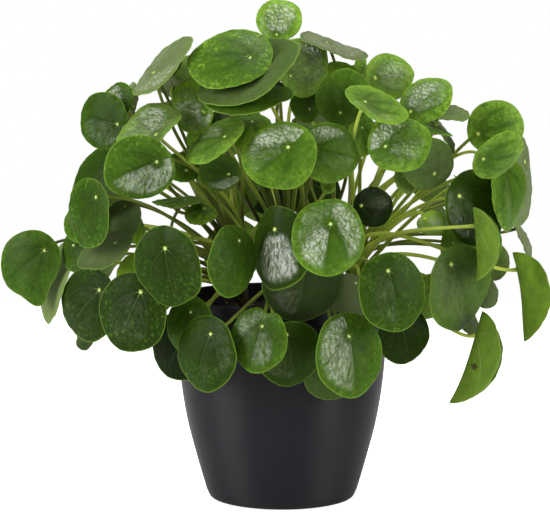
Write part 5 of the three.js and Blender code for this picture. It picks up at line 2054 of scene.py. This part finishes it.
@dataclass(frozen=True)
class LeafUnderFinish(Finish):
    """Matt grey-green lower face with raised veins."""

    name: str = "leaf_underside"
    roughness: float = 0.6
    gloss: float = 0.15
    dark: Colour = (0.028, 0.056, 0.008)
    light: Colour = (0.27, 0.47, 0.04)
    grey: Colour = (0.24, 0.29, 0.15)
    vein: Colour = (0.25, 0.36, 0.1)
    rim: Colour = (0.24, 0.33, 0.08)
    bruise: Colour = (0.05, 0.028, 0.012)
    bruise_at: Triple = (0.1743, -0.1165, 0.1438)
    bruise_stretch: Triple = (1.0, 0.42, 1.3)
    uneven: Pair = (75, 1.3)
    bumps: Pair = (0.3, 0.0008)

    def material(self) -> bpy.types.Material:
        """Builds the material."""
        made, wiring, inputs = self.begin()
        marks = blade_marks(wiring)
        tone, grey, _ = wiring.mark_parts("tint")
        away = wiring.away_from(self.bruise_at, self.bruise_stretch)
        ragged = wiring.scaled(wiring.noise(420), 0.008, away)
        colour = wiring.layers(
            wiring.mix(wiring.times(tone, mottle(wiring, *self.uneven)), self.dark, self.light),
            (grey, self.grey),
            (wiring.times(marks["Lines"], 0.6), self.vein),
            (wiring.ease(marks["Out"], 0.35, 0.0, 0.45), self.dark),
            (wiring.times(marks["Rim"], 0.6), self.rim),
            (wiring.ease(ragged, 0.0078, 0.0064, 0.9), self.bruise),
        )
        wiring.feed(inputs["Base Color"], colour)
        height = wiring.scaled(marks["Lines"], 1.5, wiring.noise(500))
        wiring.feed(inputs["Normal"], wiring.bump(height, *self.bumps))
        return made


@dataclass(frozen=True)
class PetioleFinish(Finish):
    """Smooth yellow-green stalk, darkened by painted shade towards where it leaves the stem, deep in the
    clump.
    """

    name: str = "petiole"
    roughness: float = 0.42
    gloss: float = 0.2
    olive: Colour = (0.085, 0.125, 0.012)
    light: Colour = (0.5, 0.62, 0.08)
    # Painted shade at the foot, deep in the clump
    foot: Colour = (0.035, 0.036, 0.01)
    uneven: Pair = (60, 0.7)
    bumps: Pair = (0.15, 0.0004)

    def material(self) -> bpy.types.Material:
        """Builds the material."""
        made, wiring, inputs = self.begin()
        pale, shade, _ = wiring.mark_parts("tint")
        low = wiring.ease(wiring.mark_parts("place")[2], 0.5, 0.05)
        colour = wiring.mix(wiring.times(pale, mottle(wiring, *self.uneven)), self.olive, self.light)
        # Painted shade darkens the stalk towards its foot
        wiring.feed(inputs["Base Color"], wiring.mix(wiring.times(low, shade), colour, self.foot))
        wiring.feed(inputs["Normal"], wiring.bump(wiring.noise(900), *self.bumps))
        return made


@dataclass(frozen=True)
class WoodFinish(Finish):
    """Brown stem with the rough scars of fallen leaves."""

    name: str = "woody_stem"
    roughness: float = 0.8
    dark: Colour = (0.035, 0.024, 0.013)
    light: Colour = (0.16, 0.11, 0.06)
    green: Colour = (0.09, 0.1, 0.03)
    flattened: Triple = (1, 1, 2.2)
    uneven: Pair = (120, 0.6)
    bumps: Pair = (0.7, 0.0012)

    def material(self) -> bpy.types.Material:
        """Builds the material."""
        made, wiring, inputs = self.begin()
        place = wiring.vector("MULTIPLY", wiring.place(), self.flattened).outputs[0]
        grain = wiring.noise(260, 4.0, 0.65, place)
        part = wiring.times(grain, mottle(wiring, *self.uneven))
        colour = wiring.ramp(part, (0.3, self.dark), (0.75, self.light))
        top = wiring.ease(wiring.mark_parts("place")[2], 0.8, 1.0, 0.8)
        wiring.feed(inputs["Base Color"], wiring.mix(top, colour, self.green))
        wiring.feed(inputs["Normal"], wiring.bump(grain, *self.bumps))
        return made


@dataclass(frozen=True)
class PotFinish(Finish):
    """Satin anthracite plastic with a faint cool tint."""

    name: str = "pot_plastic"
    roughness: float = 0.46
    gloss: float = 0.33
    colour: Colour = (0.0045, 0.004, 0.0078)
    worn: Colour = (0.0063, 0.0058, 0.0102)
    brushed: float = 0.8
    brushed_turn: float = 0.25
    uneven: Pair = (22, 0.5)
    uneven_gloss: Pair = (40, 0.12)
    bumps: Pair = (0.12, 0.0002)

    def material(self) -> bpy.types.Material:
        """Builds the material."""
        made, wiring, inputs = self.begin()
        inputs["Anisotropic"].default_value = self.brushed
        inputs["Anisotropic Rotation"].default_value = self.brushed_turn
        part = wiring.ease(mottle(wiring, *self.uneven), 0.9, 1.15, 0.5)
        wiring.feed(inputs["Base Color"], wiring.mix(part, self.colour, self.worn))
        roughness = wiring.times(mottle(wiring, *self.uneven_gloss), self.roughness)
        wiring.feed(inputs["Roughness"], roughness)
        wiring.feed(inputs["Normal"], wiring.bump(wiring.noise(1800), *self.bumps))
        return made


@dataclass(frozen=True)
class SoilFinish(Finish):
    """Dark crumbly peat and bark, with a few pale grains."""

    name: str = "potting_soil"
    roughness: float = 0.92
    dark: Colour = (0.012, 0.008, 0.006)
    light: Colour = (0.09, 0.055, 0.03)
    grain: Colour = (0.5, 0.42, 0.28)
    uneven: Pair = (90, 0.8)
    bumps: Pair = (0.8, 0.0015)

    def material(self) -> bpy.types.Material:
        """Builds the material."""
        made, wiring, inputs = self.begin()
        tone, pale, _ = wiring.mark_parts("tint")
        speck = wiring.times(wiring.noise(380, 5.0, 0.7), mottle(wiring, *self.uneven))
        colour = wiring.mix(wiring.ease(wiring.times(speck, tone), 0.12, 0.5), self.dark, self.light)
        wiring.feed(inputs["Base Color"], wiring.mix(pale, colour, self.grain))
        wiring.feed(inputs["Normal"], wiring.bump(speck, *self.bumps))
        return made


@dataclass(frozen=True)
class SoftLight:
    """A large soft lamp."""

    name: str
    place: Triple
    aim: Triple
    width: float
    height: float
    power: float

    def build(self) -> None:
        """Makes the lamp."""
        lamp = bpy.data.lights.new(self.name, "AREA")
        lamp.shape = "RECTANGLE"
        lamp.size = self.width
        lamp.size_y = self.height
        lamp.energy = self.power
        made = bpy.data.objects.new(self.name, lamp)
        made.location = self.place
        away = Vector(self.place) - Vector(self.aim)
        made.rotation_euler = away.to_track_quat("Z", "Y").to_euler()
        bpy.context.collection.objects.link(made)


@dataclass
class Studio:
    """Pale floor, soft light and the camera."""

    floor_size: float = 3.0
    floor_colour: Colour = (0.32, 0.32, 0.32)
    floor_glow: float = 0.82
    floor_roughness: float = 0.8
    floor_uneven: Pair = (1.5, 0.1)
    floor_level: float = -0.0004
    world_colour: Colour = (1.0, 1.0, 1.0)
    seen_strength: float = 1.0
    fill_strength: float = 0.13
    lights: tuple[SoftLight, ...] = (
        SoftLight("light_left", (-1.88, -0.9, 0.95), (0, 0, 0.3), 1.25, 1.6, 42),
        SoftLight("light_right", (1.85, -1.0, 0.9), (0, 0, 0.3), 1.3, 1.6, 32),
        SoftLight("light_front", (-0.5, -2.3, 1.4), (0, 0, 0.25), 1.2, 1.0, 7),
        SoftLight("light_above", (0, 0.1, 1.9), (0, 0, 0.3), 1.0, 0.9, 17),
    )

    def build(self) -> None:
        """Makes the studio."""
        self.add_floor()
        self.add_world()
        for light in self.lights:
            light.build()
        self.add_camera()

    def add_floor(self) -> None:
        """Makes the floor."""
        half = self.floor_size / 2
        mesh = bpy.data.meshes.new("floor")
        corners = [(half * x, half * y, 0) for x, y in ((-1, -1), (1, -1), (1, 1), (-1, 1))]
        mesh.from_pydata(corners, [], [(0, 1, 2, 3)])
        material, wiring, inputs = Finish("floor", self.floor_roughness).begin()
        wiring.feed(inputs["Emission Color"], self.world_colour)
        wiring.feed(inputs["Emission Strength"], wiring.times(wiring.seen(), self.floor_glow))
        pale = wiring.mix(mottle(wiring, *self.floor_uneven), self.floor_colour, self.world_colour)
        wiring.feed(inputs["Base Color"], pale)
        mesh.materials.append(material)
        floor = bpy.data.objects.new("floor", mesh)
        floor.location.z = self.floor_level
        bpy.context.collection.objects.link(floor)

    def add_world(self) -> None:
        """Makes the pale surroundings."""
        world = bpy.data.worlds.new("studio")
        world.use_nodes = True
        wiring = Wiring(world.node_tree)
        inputs = world.node_tree.nodes["Background"].inputs
        wiring.feed(inputs["Color"], self.world_colour)
        more = self.seen_strength - self.fill_strength
        wiring.feed(inputs["Strength"], wiring.scaled(wiring.seen(), more, self.fill_strength))
        bpy.context.scene.world = world

    def add_camera(self) -> None:
        """Makes the camera at the viewpoint."""
        lens = bpy.data.cameras.new("camera")
        lens.lens = VIEW.lens
        lens.sensor_width = VIEW.sensor
        lens.sensor_fit = "HORIZONTAL"
        lens.clip_end = 50
        camera = bpy.data.objects.new("camera", lens)
        camera.location = VIEW.eye * MM
        camera.rotation_euler = (math.pi / 2 - VIEW.pitch, 0, 0)
        bpy.context.collection.objects.link(camera)
        bpy.context.scene.camera = camera
        bpy.context.scene.view_settings.view_transform = "Standard"


def main() -> None:
    """Builds the plant, the pot, the soil and the studio, and reports each piece."""
    logging.basicConfig(level=logging.INFO, format="%(message)s")
    Studio().build()
    clump = Clump()
    clump.grow()
    LOG.info("clump: %d leaves", len(clump.leaves))
    finishes = [
        LeafTopFinish().material(),
        LeafUnderFinish().material(),
        PetioleFinish().material(),
        WoodFinish().material(),
    ]
    pieces = [LeafyStem(stem, clump).build(finishes) for stem in Stem]
    pieces.append(Pot().build(PotFinish().material()))
    pieces.append(Soil().build(SoilFinish().material()))
    for piece in pieces:
        LOG.info("%s: %d faces", piece.name, len(piece.data.polygons))


if __name__ == "__main__":
    main()
